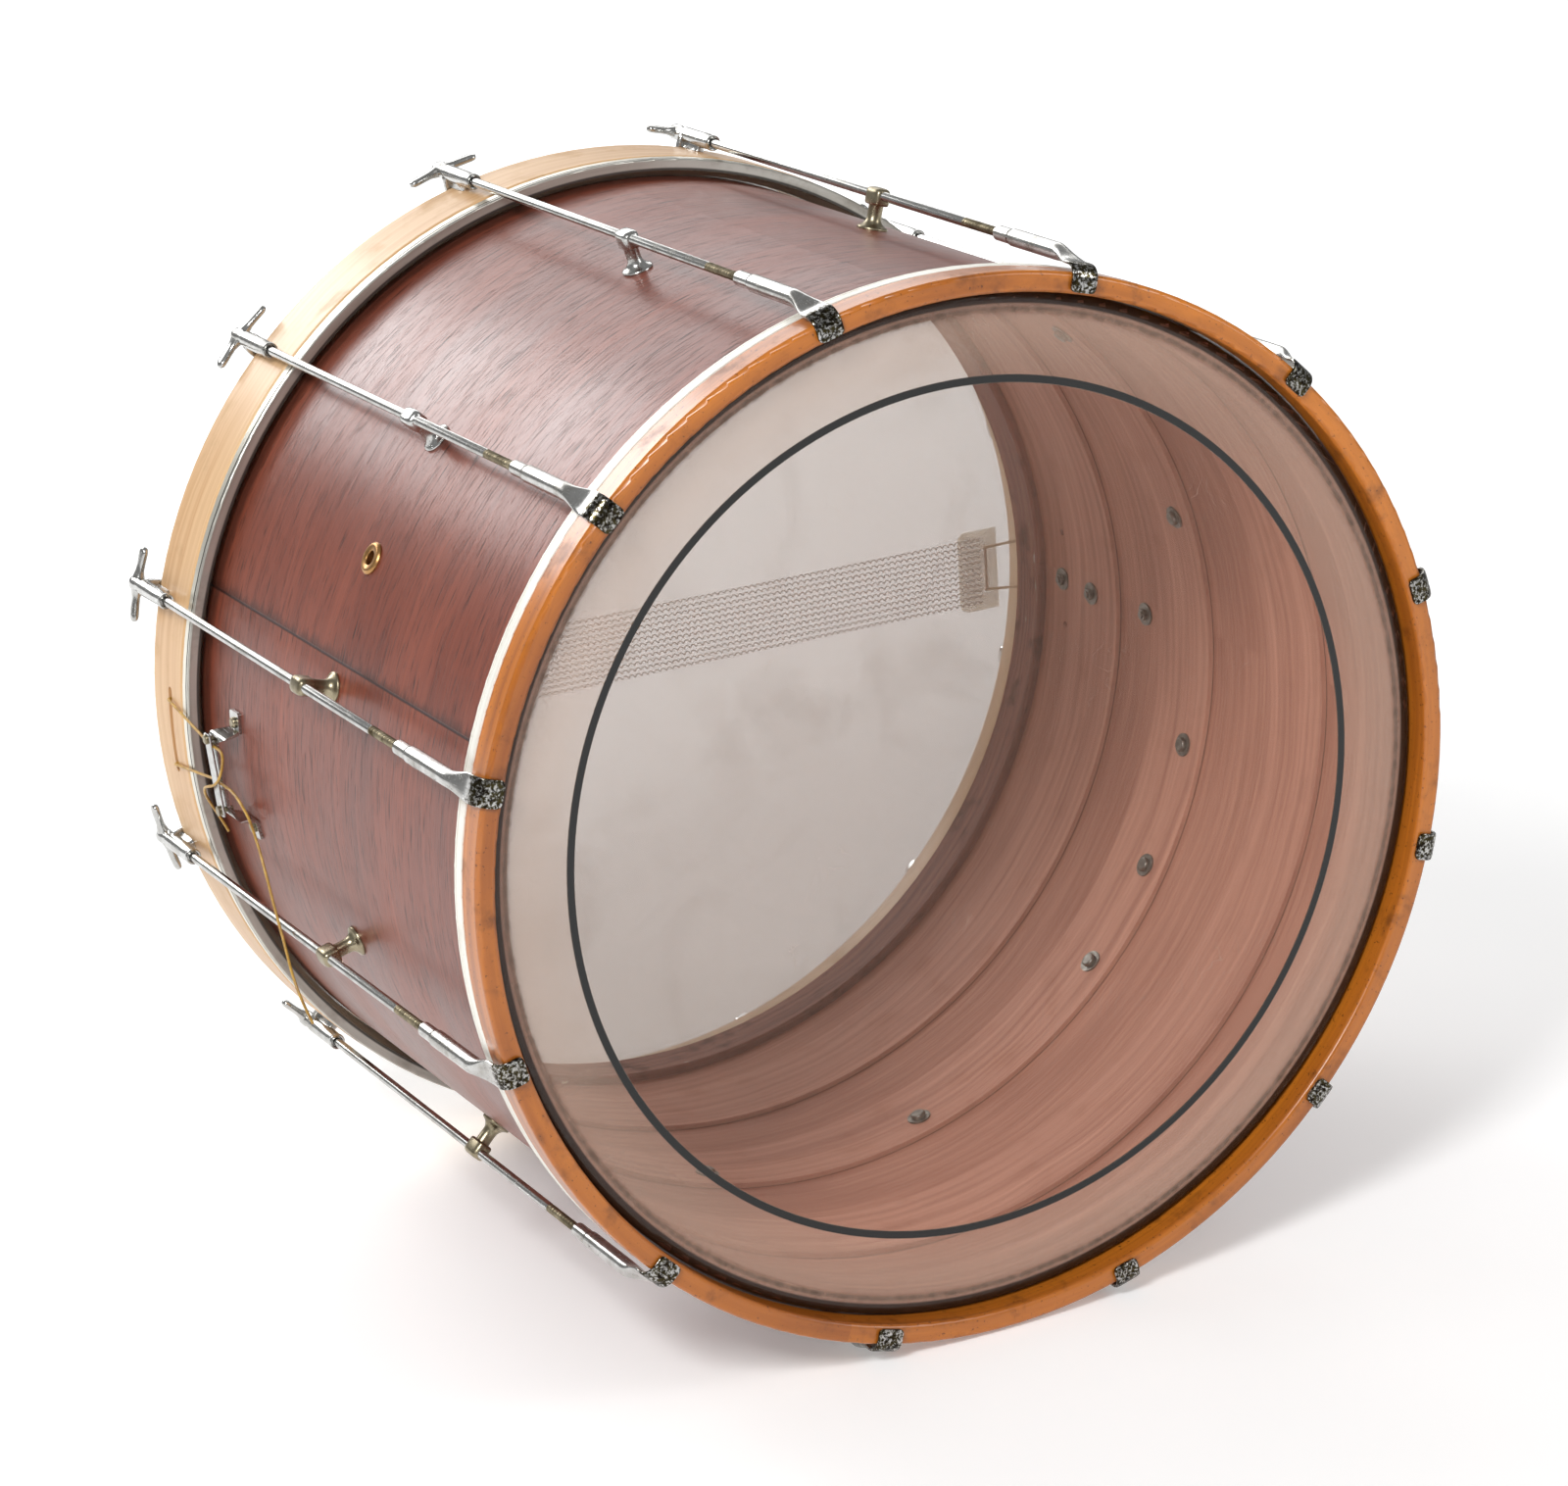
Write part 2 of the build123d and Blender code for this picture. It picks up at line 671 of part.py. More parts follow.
# ============================================================================= vent
with BuildPart() as vent_grommet:
    flange_rim = vent_flange_diameter / 2
    tube_wall = vent_tube_diameter / 2
    bore = vent_bore_diameter / 2
    lip_face = inner_seat(vent_along) - washer_gap
    lip = vent_lip_diameter / 2
    with BuildSketch(side_view):
        with BuildLine():
            Polyline(
                (vent_along + bore, lip_face - vent_inner_lip),
                (vent_along + lip, lip_face - vent_inner_lip),
                (vent_along + lip, lip_face),
                (vent_along + tube_wall, lip_face),
                (vent_along + tube_wall, shell_radius - 0.6),
                (vent_along + flange_rim, shell_radius - 0.6),
                (vent_along + flange_rim, shell_radius + 0.7),
            )
            Spline(
                (vent_along + flange_rim, shell_radius + 0.7),
                (vent_along + bore + 1.2, shell_radius + vent_flange),
                (vent_along + bore, shell_radius + vent_flange - 1.2),
                tangents=((-0.6, 1), (0, -1)),
            )
            Line(
                (vent_along + bore, shell_radius + vent_flange - 1.2),
                (vent_along + bore, lip_face - vent_inner_lip),
            )
        make_face()
    revolve(axis=Axis((vent_along, 0, 0), (0, 0, 1)))
    with BuildSketch(Plane.YZ.offset(vent_along - vent_flange_diameter)):
        Circle(fitting_bottom)
        Circle(shell_inner + 1, mode=Mode.SUBTRACT)
    under_flange = extrude(amount=2 * vent_flange_diameter, mode=Mode.PRIVATE)
    with BuildSketch(Plane.XY.offset(shell_inner)):
        with Locations((vent_along, 0)):
            Circle(vent_flange_diameter)
            Circle(tube_wall, mode=Mode.SUBTRACT)
    outside_tube = extrude(amount=vent_flange + shell_wall + 1, mode=Mode.PRIVATE)
    add(under_flange & outside_tube, mode=Mode.SUBTRACT)
write(placed(vent_grommet.part, vent_angle), "vent_grommet")

# =========================================================================== snares
strand_reach = plate_inner_reach + strand_overlap + strand_diameter
strand_rows = [
    -snare_drop + (row - (strand_count - 1) / 2) * strand_spacing for row in range(strand_count)
]
strand_end = Plane(
    origin=(-strand_reach, along(snare_along), axis_height), x_dir=(0, 1, 0), z_dir=(1, 0, 0)
)
with BuildPart() as snare_strands:
    with BuildSketch(strand_end):
        with Locations(*[(0, height) for height in strand_rows]):
            Circle(strand_diameter / 2)
    extrude(amount=2 * strand_reach)
write(snare_strands.part, "snare_strands")

plate_plane = Plane(
    origin=(0, along(plate_along), axis_height - snare_drop), x_dir=(-1, 0, 0), z_dir=(0, 1, 0)
)
for side, name in ((-1, "right"), (1, "left")):
    with BuildPart() as snare_plate:
        with BuildSketch(plate_plane) as plate_outline:
            with Locations((side * (plate_inner_reach + plate_outer_reach) / 2, 0)):
                Rectangle(plate_outer_reach - plate_inner_reach, plate_height)
            outer_corners = plate_outline.vertices().group_by(Axis.X)[0 if side > 0 else -1]
            fillet(outer_corners, plate_corner)
            with Locations(
                (side * cord_hole_reach, cord_hole_half_spacing),
                (side * cord_hole_reach, -cord_hole_half_spacing),
            ):
                Circle(cord_hole_diameter / 2, mode=Mode.SUBTRACT)
        extrude(amount=plate)
    write(snare_plate.part, f"snare_plate_{name}")


# ============================================================================ cords
def at(angle, distance, radius):
    """World point on the drum."""
    return station(angle, distance, radius).origin


def cord(name, points, radii):
    """Writes a round cord along straight runs joined by tangent arcs."""
    with BuildPart() as tube:
        with BuildLine():
            route = FilletPolyline(*points, radius=radii)
        with BuildSketch(Plane(origin=route @ 0, z_dir=route % 0)):
            Circle(cord_radius)
        sweep()
    write(tube.part, name)
    share = tube.part.volume / (route.length * pi * cord_radius**2)
    print(name, "length", round(route.length, 1), "volume share", round(share, 4))
    print("    radii", [round(radius, 1) for radius in radii])


def widest_radii(points):
    """For each corner of a route, the largest arc that its two runs allow."""
    radii = []
    for before, corner, after in zip(points, points[1:], points[2:]):
        first, second = Vector(corner) - Vector(before), Vector(after) - Vector(corner)
        turn = radians(first.get_angle(second))
        radii.append(0.45 * min(first.length, second.length) / tan(turn / 2))
    return radii


def snare_height(height):
    """World Z of a height measured from the middle of the snares."""
    return axis_height - snare_drop + height


hole_bend = (cord_outside - snare_along) * 0.485


def plate_loop(side):
    """The cord's four corners through the holes of one end plate, upper leg first."""
    reach = side * cord_hole_reach
    return [
        (reach, along(distance), snare_height(height))
        for distance, height in (
            (cord_outside, cord_hole_half_spacing),
            (snare_along, cord_hole_half_spacing),
            (snare_along, -cord_hole_half_spacing),
            (cord_outside, -cord_hole_half_spacing),
        )
    ]


butt_plane = station(butt_angle)


def butt_point(distance, round_drum, height=held_radius):
    """World point in the butt clamp's own directions: along, round and out of the drum."""
    return butt_plane.from_local_coords((distance, round_drum, height))


def gate_point(angle):
    """World point where the cord turns out of the hoop's gate and over the hoop."""
    return at(angle, cord_outside, cord_circle)


jaw_front = butt_along - jaw_width / 2 - 2.5
jaw_rear = butt_along + jaw_width / 2 + 2.5
butt_route = [
    butt_point(jaw_front, held_short),
    butt_point(jaw_rear, held_short),
    gate_point(176.3),
    *plate_loop(-1),
    gate_point(184.1),
    butt_point(jaw_rear, held_long),
    butt_point(jaw_front, held_long),
]
loop_bends = [hole_bend] * 4
cord("butt_cord", butt_route, [25, gate_bend, *loop_bends, gate_bend, 25])

strainer_plane = station(strainer_angle)
strainer_cord_half = 6.4
strainer_cord_end = slide_front_along + slide_length - clamp_plate_length - 2.5
strainer_cord_turn = slide_front_along + slide_length + slide_travel + 3.0


def strainer_point(distance, round_drum, height=strainer_held):
    """World point in the strainer's own directions: along, round and out of the drum."""
    return strainer_plane.from_local_coords((distance, round_drum, height))


strainer_route = [
    strainer_point(strainer_cord_end, strainer_cord_half),
    strainer_point(strainer_cord_turn, strainer_cord_half),
    gate_point(1.6),
    *plate_loop(1),
    gate_point(-4.7),
    strainer_point(strainer_cord_turn, -strainer_cord_half),
    strainer_point(strainer_cord_end, -strainer_cord_half),
]
cord("strainer_cord", strainer_route, [25, gate_bend, *loop_bends, gate_bend, 25])

short_tail_route = [
    butt_point(jaw_front, held_short),
    butt_point(381.5, held_short),
    butt_point(375.5, -14.8, 319.2),
    butt_point(373.5, -8.4, 321.8),
    butt_point(376, -2, 323.6),
    butt_point(383, 3, 324.8),
    butt_point(392, 5.6, 325.2),
    butt_point(402, 9.4, 324.6),
    butt_point(411, 17.5, 321.4),
    butt_point(417, 28, 315.6),
    butt_point(421.5, 39, 309.6),
    butt_point(423, 48.5, 305.4),
]
cord("cord_tail_short", short_tail_route, widest_radii(short_tail_route))


def tail_point(across_drum, distance, height):
    """World point of the long tail: X, distance along the drum, height from the axis."""
    return Vector(across_drum, along(distance), axis_height + height)


long_tail_route = [
    butt_point(jaw_front, held_long),
    butt_point(378, held_long),
    tail_point(-319.4, 366, -13.2),
    tail_point(-321.2, 351, -13.6),
    tail_point(-322.2, 330, -22.0),
    tail_point(-322.9, 314, -43.0),
    tail_point(-323.0, 302.5, -67.0),
    tail_point(-322.8, 291.5, -88.0),
    tail_point(-322.4, 284.0, -107.0),
    tail_point(-321.8, 273.0, -121.5),
    tail_point(-321.2, 260.0, -131.0),
]
cord("cord_tail_long", long_tail_route, widest_radii(long_tail_route))


# ======================================================================= butt clamp
def skewed(distance, round_drum):
    """Point of the clamp's outline, leaned forward as it runs round the drum."""
    return (distance - butt_skew * round_drum, round_drum)


def skewed_ring(points):
    """The clamp's outline drawn round both ends from one end's points."""
    other = [(distance, -round_drum) for distance, round_drum in reversed(points)]
    return [skewed(*point) for point in points + other]


half_jaw = jaw_length / 2
with BuildPart() as butt_bracket:
    foot_angle = foot_centre / shell_radius
    foot_start = foot_centre - foot_length / 2
    with BuildSketch(across(butt_angle, butt_along)):
        with BuildLine() as bracket_line:
            foot_x = fitting_bottom * cos(foot_angle)
            foot_y = fitting_bottom * sin(foot_angle)
            run = foot_length / 2 + 0.5

            def foot_point(side, reach):
                return (
                    foot_x - reach * sin(foot_angle),
                    side * (foot_y + reach * cos(foot_angle)),
                )

            inside = jaw_face - fixed_jaw
            FilletPolyline(
                foot_point(-1, run),
                foot_point(-1, 1.5 - foot_length / 2),
                (inside, -foot_start + 1.5),
                (inside, foot_start - 1.5),
                foot_point(1, 1.5 - foot_length / 2),
                foot_point(1, run),
                radius=1.2,
            )
            offset(amount=fixed_jaw, side=Side.RIGHT, closed=True)
        make_face()
    extrude(amount=40, both=True)
    plan = skewed_ring(
        [
            (butt_along - jaw_width / 2, half_jaw - 6),
            (butt_along - foot_setback - foot_width / 2, foot_start),
            (butt_along - foot_setback - foot_width / 2, foot_start + foot_length),
            (butt_along - foot_setback + foot_width / 2, foot_start + foot_length),
            (butt_along - foot_setback + foot_width / 2, foot_start + 3),
            (butt_along + jaw_width / 2, half_jaw),
        ]
    )
    with BuildSketch(butt_plane.offset(shell_radius - 6)) as bracket_plan:
        with BuildLine():
            Polyline(*plan, close=True)
        make_face()
        fillet(bracket_plan.vertices(), 2.0)
    extrude(amount=40, mode=Mode.INTERSECT)
    with BuildSketch(*[plane.offset(-4) for plane in foot_stations]):
        Circle(foot_screw_diameter / 2 + screw_hole_clearance)
    extrude(amount=12, mode=Mode.SUBTRACT)
    clamp_screw_places = [
        skewed(butt_along, side * (half_jaw - clamp_screw_inset)) for side in (-1, 1)
    ]
    with BuildSketch(butt_plane.offset(jaw_face - fixed_jaw - 1)):
        with Locations(*clamp_screw_places):
            Circle(clamp_screw_diameter / 2 + screw_hole_clearance)
    extrude(amount=fixed_jaw + 2, mode=Mode.SUBTRACT)
write(butt_bracket.part, "butt_bracket")

with BuildPart() as butt_jaw:
    with BuildSketch(butt_plane.offset(moving_jaw_face)) as jaw_outline:
        with BuildLine():
            half_width = jaw_width / 2
            Polyline(
                *skewed_ring([(butt_along - half_width, half_jaw), (butt_along + half_width, half_jaw)]),
                close=True,
            )
        make_face()
        fillet(jaw_outline.vertices(), 1.6)
        with Locations(*clamp_screw_places):
            Circle(clamp_screw_diameter / 2 + screw_hole_clearance, mode=Mode.SUBTRACT)
    extrude(amount=moving_jaw)
    chamfer(butt_jaw.faces().sort_by(Axis.X)[0].outer_wire().edges(), 0.5)
write(butt_jaw.part, "butt_jaw")

with BuildPart() as butt_jaw_screws:
    with BuildSketch(butt_plane.offset(moving_jaw_face + moving_jaw)):
        with Locations(*clamp_screw_places):
            Circle(clamp_screw_head_diameter / 2)
    extrude(amount=clamp_screw_head)
    head_rims = butt_jaw_screws.edges().filter_by(GeomType.CIRCLE).group_by(Axis.X)[0]
    fillet(head_rims, clamp_screw_head * 0.6)
    with BuildSketch(butt_plane.offset(jaw_face - fixed_jaw - clamp_screw_tail)):
        with Locations(*clamp_screw_places):
            Circle(clamp_screw_diameter / 2)
    extrude(amount=clamp_screw_tail + fixed_jaw + jaw_gap + moving_jaw)
write(butt_jaw_screws.part, "butt_jaw_screws")

foot_head_offset = fixed_jaw + 3 * shell_seat
foot_screws = []
for plane in foot_stations:
    with BuildPart() as foot_screw:
        with BuildSketch(plane.offset(foot_head_offset)):
            Circle(foot_screw_head_diameter / 2)
        extrude(amount=foot_screw_head)
        fillet(foot_screw.faces().sort_by(Axis.X)[0].edges(), foot_screw_head * 0.6)
        with BuildSketch(plane.offset(foot_head_offset)):
            Circle(foot_screw_diameter / 2)
        extrude(amount=0.3 - foot_hole_depth - foot_head_offset)
    foot_screws.append(foot_screw.part)
write(Compound(foot_screws), "butt_foot_screws")

# ========================================================================= strainer
bearing_middle = bearing_front_along + bearing_length / 2
spindle_front = bearing_front_along - rest_clearance - knob_length


def strainer_section(distance):
    """Plane square to the drum at the strainer, facing the rear: x straight outwards."""
    here = station(strainer_angle, distance)
    return Plane(origin=here.origin, x_dir=here.z_dir, z_dir=(0, 1, 0))


def strainer_layer(height):
    """Plane lying on the strainer at a height from the drum's axis."""
    return strainer_plane.offset(height)


screw_places = [(distance, 0) for distance in strainer_screw_along]
with BuildPart() as strainer_base:
    base_middle = (base_front_along + base_rear_along) / 2
    with BuildSketch(strainer_layer(shell_radius - 1)):
        with Locations((base_middle, 0)):
            RectangleRounded(base_rear_along - base_front_along, base_width, base_width * 0.3)
    extrude(amount=base_metal + 1)
    rail_length = base_rear_along - rail_front_along - base_width * 0.3
    with BuildSketch(strainer_layer(base_top)):
        for side in (-1, 1):
            with Locations((rail_front_along + rail_length / 2, side * (base_width - rail_metal) / 2)):
                RectangleRounded(rail_length, rail_metal, rail_metal * 0.3)
    extrude(amount=rail_height)
    with BuildSketch(strainer_layer(base_top)):
        with Locations((bearing_middle, 0)):
            RectangleRounded(bearing_length, bearing_width, 1.0)
    extrude(amount=spindle_circle - base_top)
    with BuildSketch(strainer_section(bearing_front_along)):
        with Locations((spindle_circle, 0)):
            Circle(spindle_diameter / 2 + bearing_wall)
    extrude(amount=bearing_length)
    with BuildSketch(strainer_section(bearing_front_along - 1)):
        with Locations((spindle_circle, 0)):
            Circle(spindle_diameter / 2 + rod_run_clearance)
    extrude(amount=bearing_length + 2, mode=Mode.SUBTRACT)
    with Locations(strainer_section(base_middle)):
        Cylinder(fitting_bottom, 2 * base_width + base_rear_along, mode=Mode.SUBTRACT)
    with Locations(*[strainer_layer(base_top) * Location((*place, 0)) for place in screw_places]):
        CounterSinkHole(
            strainer_screw_diameter / 2 + screw_hole_clearance,
            strainer_screw_head_diameter / 2 + screw_hole_clearance,
            base_metal + 2,
        )
write(strainer_base.part, "strainer_base")

slide_rear = slide_front_along + slide_length
plate_screw_places = [
    (slide_rear - clamp_plate_length * share, 0) for share in (0.24, 0.76)
]
with BuildPart() as strainer_slide:
    slide_middle = slide_front_along + slide_length / 2
    slide_bottom = base_top + slide_clearance
    with BuildSketch(strainer_layer(slide_bottom)):
        with Locations((slide_middle, 0)):
            RectangleRounded(slide_length, slide_width, 2.0)
    extrude(amount=slide_top - slide_bottom)
    with BuildSketch(strainer_layer(slide_top - 3.4)):
        with Locations((slide_front_along + (slide_length - clamp_plate_length) / 2 - 1.5, 0)):
            Rectangle(slide_length - clamp_plate_length - 3, slide_width + 1)
    extrude(amount=6, mode=Mode.SUBTRACT)
    with BuildSketch(strainer_section(slide_front_along - 1)):
        with Locations((spindle_circle, 0)):
            Circle(spindle_diameter / 2 + rod_run_clearance)
    extrude(amount=slide_length - clamp_plate_length + 1, mode=Mode.SUBTRACT)
    with BuildSketch(strainer_layer(slide_top - plate_screw_bite - 0.5)):
        with Locations(*plate_screw_places):
            Circle(plate_screw_diameter / 2 + screw_hole_clearance)
    extrude(amount=plate_screw_bite + 1, mode=Mode.SUBTRACT)
write(strainer_slide.part, "strainer_slide")

plate_bottom = slide_top + jaw_gap
with BuildPart() as strainer_clamp_plate:
    with BuildSketch(strainer_layer(plate_bottom)):
        with Locations((slide_rear - clamp_plate_length / 2, 0)):
            RectangleRounded(clamp_plate_length, slide_width, 2.0)
    extrude(amount=clamp_plate)
    with Locations(
        *[strainer_layer(plate_bottom + clamp_plate) * Location((*place, 0)) for place in plate_screw_places]
    ):
        CounterSinkHole(
            plate_screw_diameter / 2 + screw_hole_clearance,
            plate_screw_head_diameter / 2 + screw_hole_clearance,
            clamp_plate + 2,
        )
write(strainer_clamp_plate.part, "strainer_clamp_plate")


def flat_screw(place, top, shank, head, tip):
    """Countersunk screw in the strainer's directions, its flat head's top at a height."""
    cone = (head - shank) / 2 / tan(radians(41))
    with BuildPart() as screw:
        with BuildSketch(strainer_layer(top)):
            with Locations(place):
                Circle(head / 2)
        with BuildSketch(strainer_layer(top - cone)):
            with Locations(place):
                Circle(shank / 2)
        loft()
        with BuildSketch(strainer_layer(tip)):
            with Locations(place):
                Circle(shank / 2)
        extrude(amount=top - cone - tip)
        with BuildSketch(strainer_layer(top + 0.2)):
            with Locations(place):
                Rectangle(head + 1, head * 0.14)
        extrude(amount=-head * 0.12 - 0.2, mode=Mode.SUBTRACT)
    return screw.part


plate_screws = [
    flat_screw(
        place,
        plate_bottom + clamp_plate - shell_seat,
        plate_screw_diameter,
        plate_screw_head_diameter,
        slide_top - plate_screw_bite,
    )
    for place in plate_screw_places
]
write(Compound(plate_screws), "strainer_clamp_screws")

with BuildPart() as strainer_knob:
    with BuildSketch(strainer_section(spindle_front)) as knob_outline:
        with Locations((spindle_circle, 0)):
            Circle(knob_diameter / 2)
            with PolarLocations(knob_diameter / 2 + knob_flute_diameter * 0.2, knob_flutes):
                Circle(knob_flute_diameter / 2, mode=Mode.SUBTRACT)
    extrude(amount=knob_length - 2)
    with BuildSketch(strainer_section(spindle_front + knob_length - 2)):
        with Locations((spindle_circle, 0)):
            Circle(knob_diameter * 0.36)
    extrude(amount=2)
    with BuildSketch(strainer_section(spindle_front + knob_length)):
        with Locations((spindle_circle, 0)):
            Circle(spindle_diameter / 2)
    extrude(amount=spindle_end_along - spindle_front - knob_length)
    with BuildSketch(strainer_section(bearing_front_along + bearing_length + rest_clearance)):
        with Locations((spindle_circle, 0)):
            Circle(spindle_diameter / 2 + 1.6)
    extrude(amount=2)
write(strainer_knob.part, "strainer_knob")

screws, nuts = [], []
for distance in strainer_screw_along:
    nut_top = inner_seat(distance) - washer_gap - post_washer - shell_seat
    tip = nut_top - nut_height - strainer_screw_tail
    screws.append(
        flat_screw(
            (distance, 0),
            base_top - shell_seat,
            strainer_screw_diameter,
            strainer_screw_head_diameter,
            tip,
        )
    )
    with BuildPart() as nut:
        with BuildSketch(strainer_layer(nut_top)):
            with Locations((distance, 0)):
                RegularPolygon(nut_across_flats / 2, 6, major_radius=False)
                Circle(strainer_screw_diameter / 2 + shell_seat, mode=Mode.SUBTRACT)
        extrude(amount=-nut_height)
    nuts.append(nut.part)
write(Compound(screws), "strainer_screws")
write(Compound(nuts), "strainer_nuts")
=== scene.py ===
"""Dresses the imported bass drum: shapes and finishes for its wood, films, metal and cords."""

import json
import math

import bmesh
import bpy
from bpy.props import FloatProperty, FloatVectorProperty, IntProperty, PointerProperty
from mathutils import Euler, Matrix, Vector


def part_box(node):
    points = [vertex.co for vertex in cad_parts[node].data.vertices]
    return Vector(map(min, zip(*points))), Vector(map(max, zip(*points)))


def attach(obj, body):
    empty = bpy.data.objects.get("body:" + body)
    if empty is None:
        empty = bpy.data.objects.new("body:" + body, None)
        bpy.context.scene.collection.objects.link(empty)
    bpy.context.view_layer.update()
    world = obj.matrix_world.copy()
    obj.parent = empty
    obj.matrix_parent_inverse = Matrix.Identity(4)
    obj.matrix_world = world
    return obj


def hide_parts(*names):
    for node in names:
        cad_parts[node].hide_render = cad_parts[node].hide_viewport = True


bl_info = {
    "name": "Vintage Bass Drum",
    "version": (1, 0, 0),
    "blender": (4, 5, 0),
    "location": "3D View > Sidebar > Bass Drum",
    "description": "Builds a wooden bass drum's visible pieces and finishes around its solids",
    "category": "Object",
}

MM = 0.001
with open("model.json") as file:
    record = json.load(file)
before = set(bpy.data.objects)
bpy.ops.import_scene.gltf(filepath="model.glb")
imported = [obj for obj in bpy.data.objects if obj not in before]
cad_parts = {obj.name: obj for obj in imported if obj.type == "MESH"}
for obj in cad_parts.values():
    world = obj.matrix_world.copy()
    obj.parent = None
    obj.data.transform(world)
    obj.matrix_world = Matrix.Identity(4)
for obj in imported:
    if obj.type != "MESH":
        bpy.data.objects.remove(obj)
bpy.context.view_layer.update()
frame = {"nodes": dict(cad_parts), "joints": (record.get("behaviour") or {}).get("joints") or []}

# ------------------------------------------------------------------ places from the frame
HOOP_LOW, HOOP_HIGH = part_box("front_hoop")
AXIS_Z = (HOOP_LOW.z + HOOP_HIGH.z) / 2
FRONT = HOOP_LOW.y
HOOP_RADIUS = (HOOP_HIGH.z - HOOP_LOW.z) / 2
SHELL_LOW, SHELL_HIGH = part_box("shell")
SHELL_RADIUS = (SHELL_HIGH.z - SHELL_LOW.z) / 2
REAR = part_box("rear_hoop")[1].y
JOINTS = {joint["name"]: joint for joint in frame["joints"]}


def joint_place(name):
    """Point on a joint's axis."""
    return Vector(JOINTS[name]["pos_m"])


ROD_PLACES = [joint_place(f"rod_{number:02d}_turn") for number in range(1, 13)]
ROD_ANGLES = [math.atan2(place.z - AXIS_Z, place.x) for place in ROD_PLACES]
ROD_CIRCLE = math.hypot(ROD_PLACES[0].x, ROD_PLACES[0].z - AXIS_Z)


def along(millimetres):
    """World Y of a distance behind the front hoop's face."""
    return FRONT + millimetres * MM


def on_drum(angle):
    """Turns a piece made about the drum's axis (rear, round, out) to its angle."""
    out = Vector((math.cos(angle), 0, math.sin(angle)))
    round_drum = Vector((-math.sin(angle), 0, math.cos(angle)))
    place = Matrix.Identity(4)
    for column, axis in enumerate((Vector((0, 1, 0)), round_drum, out)):
        for row in range(3):
            place[row][column] = axis[row]
    place.translation = Vector((0, FRONT, AXIS_Z))
    return place


# ========================================================================= mesh tools
def finished(name, mesh_builder, materials, body="root", smooth=30):
    """Makes a mesh object at the origin from a bmesh, shaded smooth below an edge angle."""
    mesh = bpy.data.meshes.new(name)
    bmesh.ops.remove_doubles(mesh_builder, verts=mesh_builder.verts, dist=0.5e-6)
    bmesh.ops.recalc_face_normals(mesh_builder, faces=mesh_builder.faces)
    for edge in mesh_builder.edges:
        if len(edge.link_faces) == 2:
            edge.smooth = edge.calc_face_angle(0) < math.radians(smooth)
    for face in mesh_builder.faces:
        face.smooth = True
    mesh_builder.to_mesh(mesh)
    mesh_builder.free()
    piece = bpy.data.objects.new(name, mesh)
    bpy.context.scene.collection.objects.link(piece)
    for material in materials:
        mesh.materials.append(material)
    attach(piece, body)
    return piece


def add_loft(builder, sections, sides=28, place=None, material=0, closed=(True, True)):
    """Skins rounded sections: each is centre, side and top directions, half sizes, squareness."""
    place = place or Matrix.Identity(4)
    rings = []
    for centre, side, top, half_width, half_height, squareness in sections:
        ring = []
        for step in range(sides):
            turn = 2 * math.pi * step / sides
            power = 2 / squareness
            c, s = math.cos(turn), math.sin(turn)
            x = math.copysign(abs(c) ** power, c) * half_width
            y = math.copysign(abs(s) ** power, s) * half_height
            point = Vector(centre) + Vector(side) * x + Vector(top) * y
            ring.append(builder.verts.new(place @ (point * MM)))
        rings.append(ring)
    faces = []
    for first, second in zip(rings, rings[1:]):
        for step in range(sides):
            after = (step + 1) % sides
            faces.append(
                builder.faces.new((first[step], first[after], second[after], second[step]))
            )
    if closed[0]:
        faces.append(builder.faces.new(rings[0][::-1]))
    if closed[1]:
        faces.append(builder.faces.new(rings[-1]))
    for face in faces:
        face.material_index = material
    return faces


def add_turned(builder, profile, place, sides=40, material=0, closed=True):
    """Turns a profile of (length, radius) points about the place's X axis."""
    rings = []
    for length, radius in profile:
        ring = []
        for step in range(sides):
            turn = 2 * math.pi * step / sides
            point = Vector((length, math.cos(turn) * radius, math.sin(turn) * radius))
            ring.append(builder.verts.new(place @ (point * MM)))
        rings.append(ring)
    faces = []
    pairs = list(zip(rings, rings[1:]))
    if closed == "loop":
        pairs.append((rings[-1], rings[0]))
    for first, second in pairs:
        for step in range(sides):
            after = (step + 1) % sides
            faces.append(
                builder.faces.new((first[step], first[after], second[after], second[step]))
            )
    if closed is True:
        faces.append(builder.faces.new(rings[0][::-1]))
        faces.append(builder.faces.new(rings[-1]))
    for face in faces:
        face.material_index = material
    return faces


def rod_axis_place(angle):
    """Local X along the rod, with the origin level with the hoop's face."""
    return on_drum(angle) @ Matrix.Translation((0, 0, ROD_CIRCLE))


def smoothstep(value):
    value = min(1.0, max(0.0, value))
    return value * value * (3 - 2 * value)


def blend_between(first, second, share):
    return first + (second - first) * share


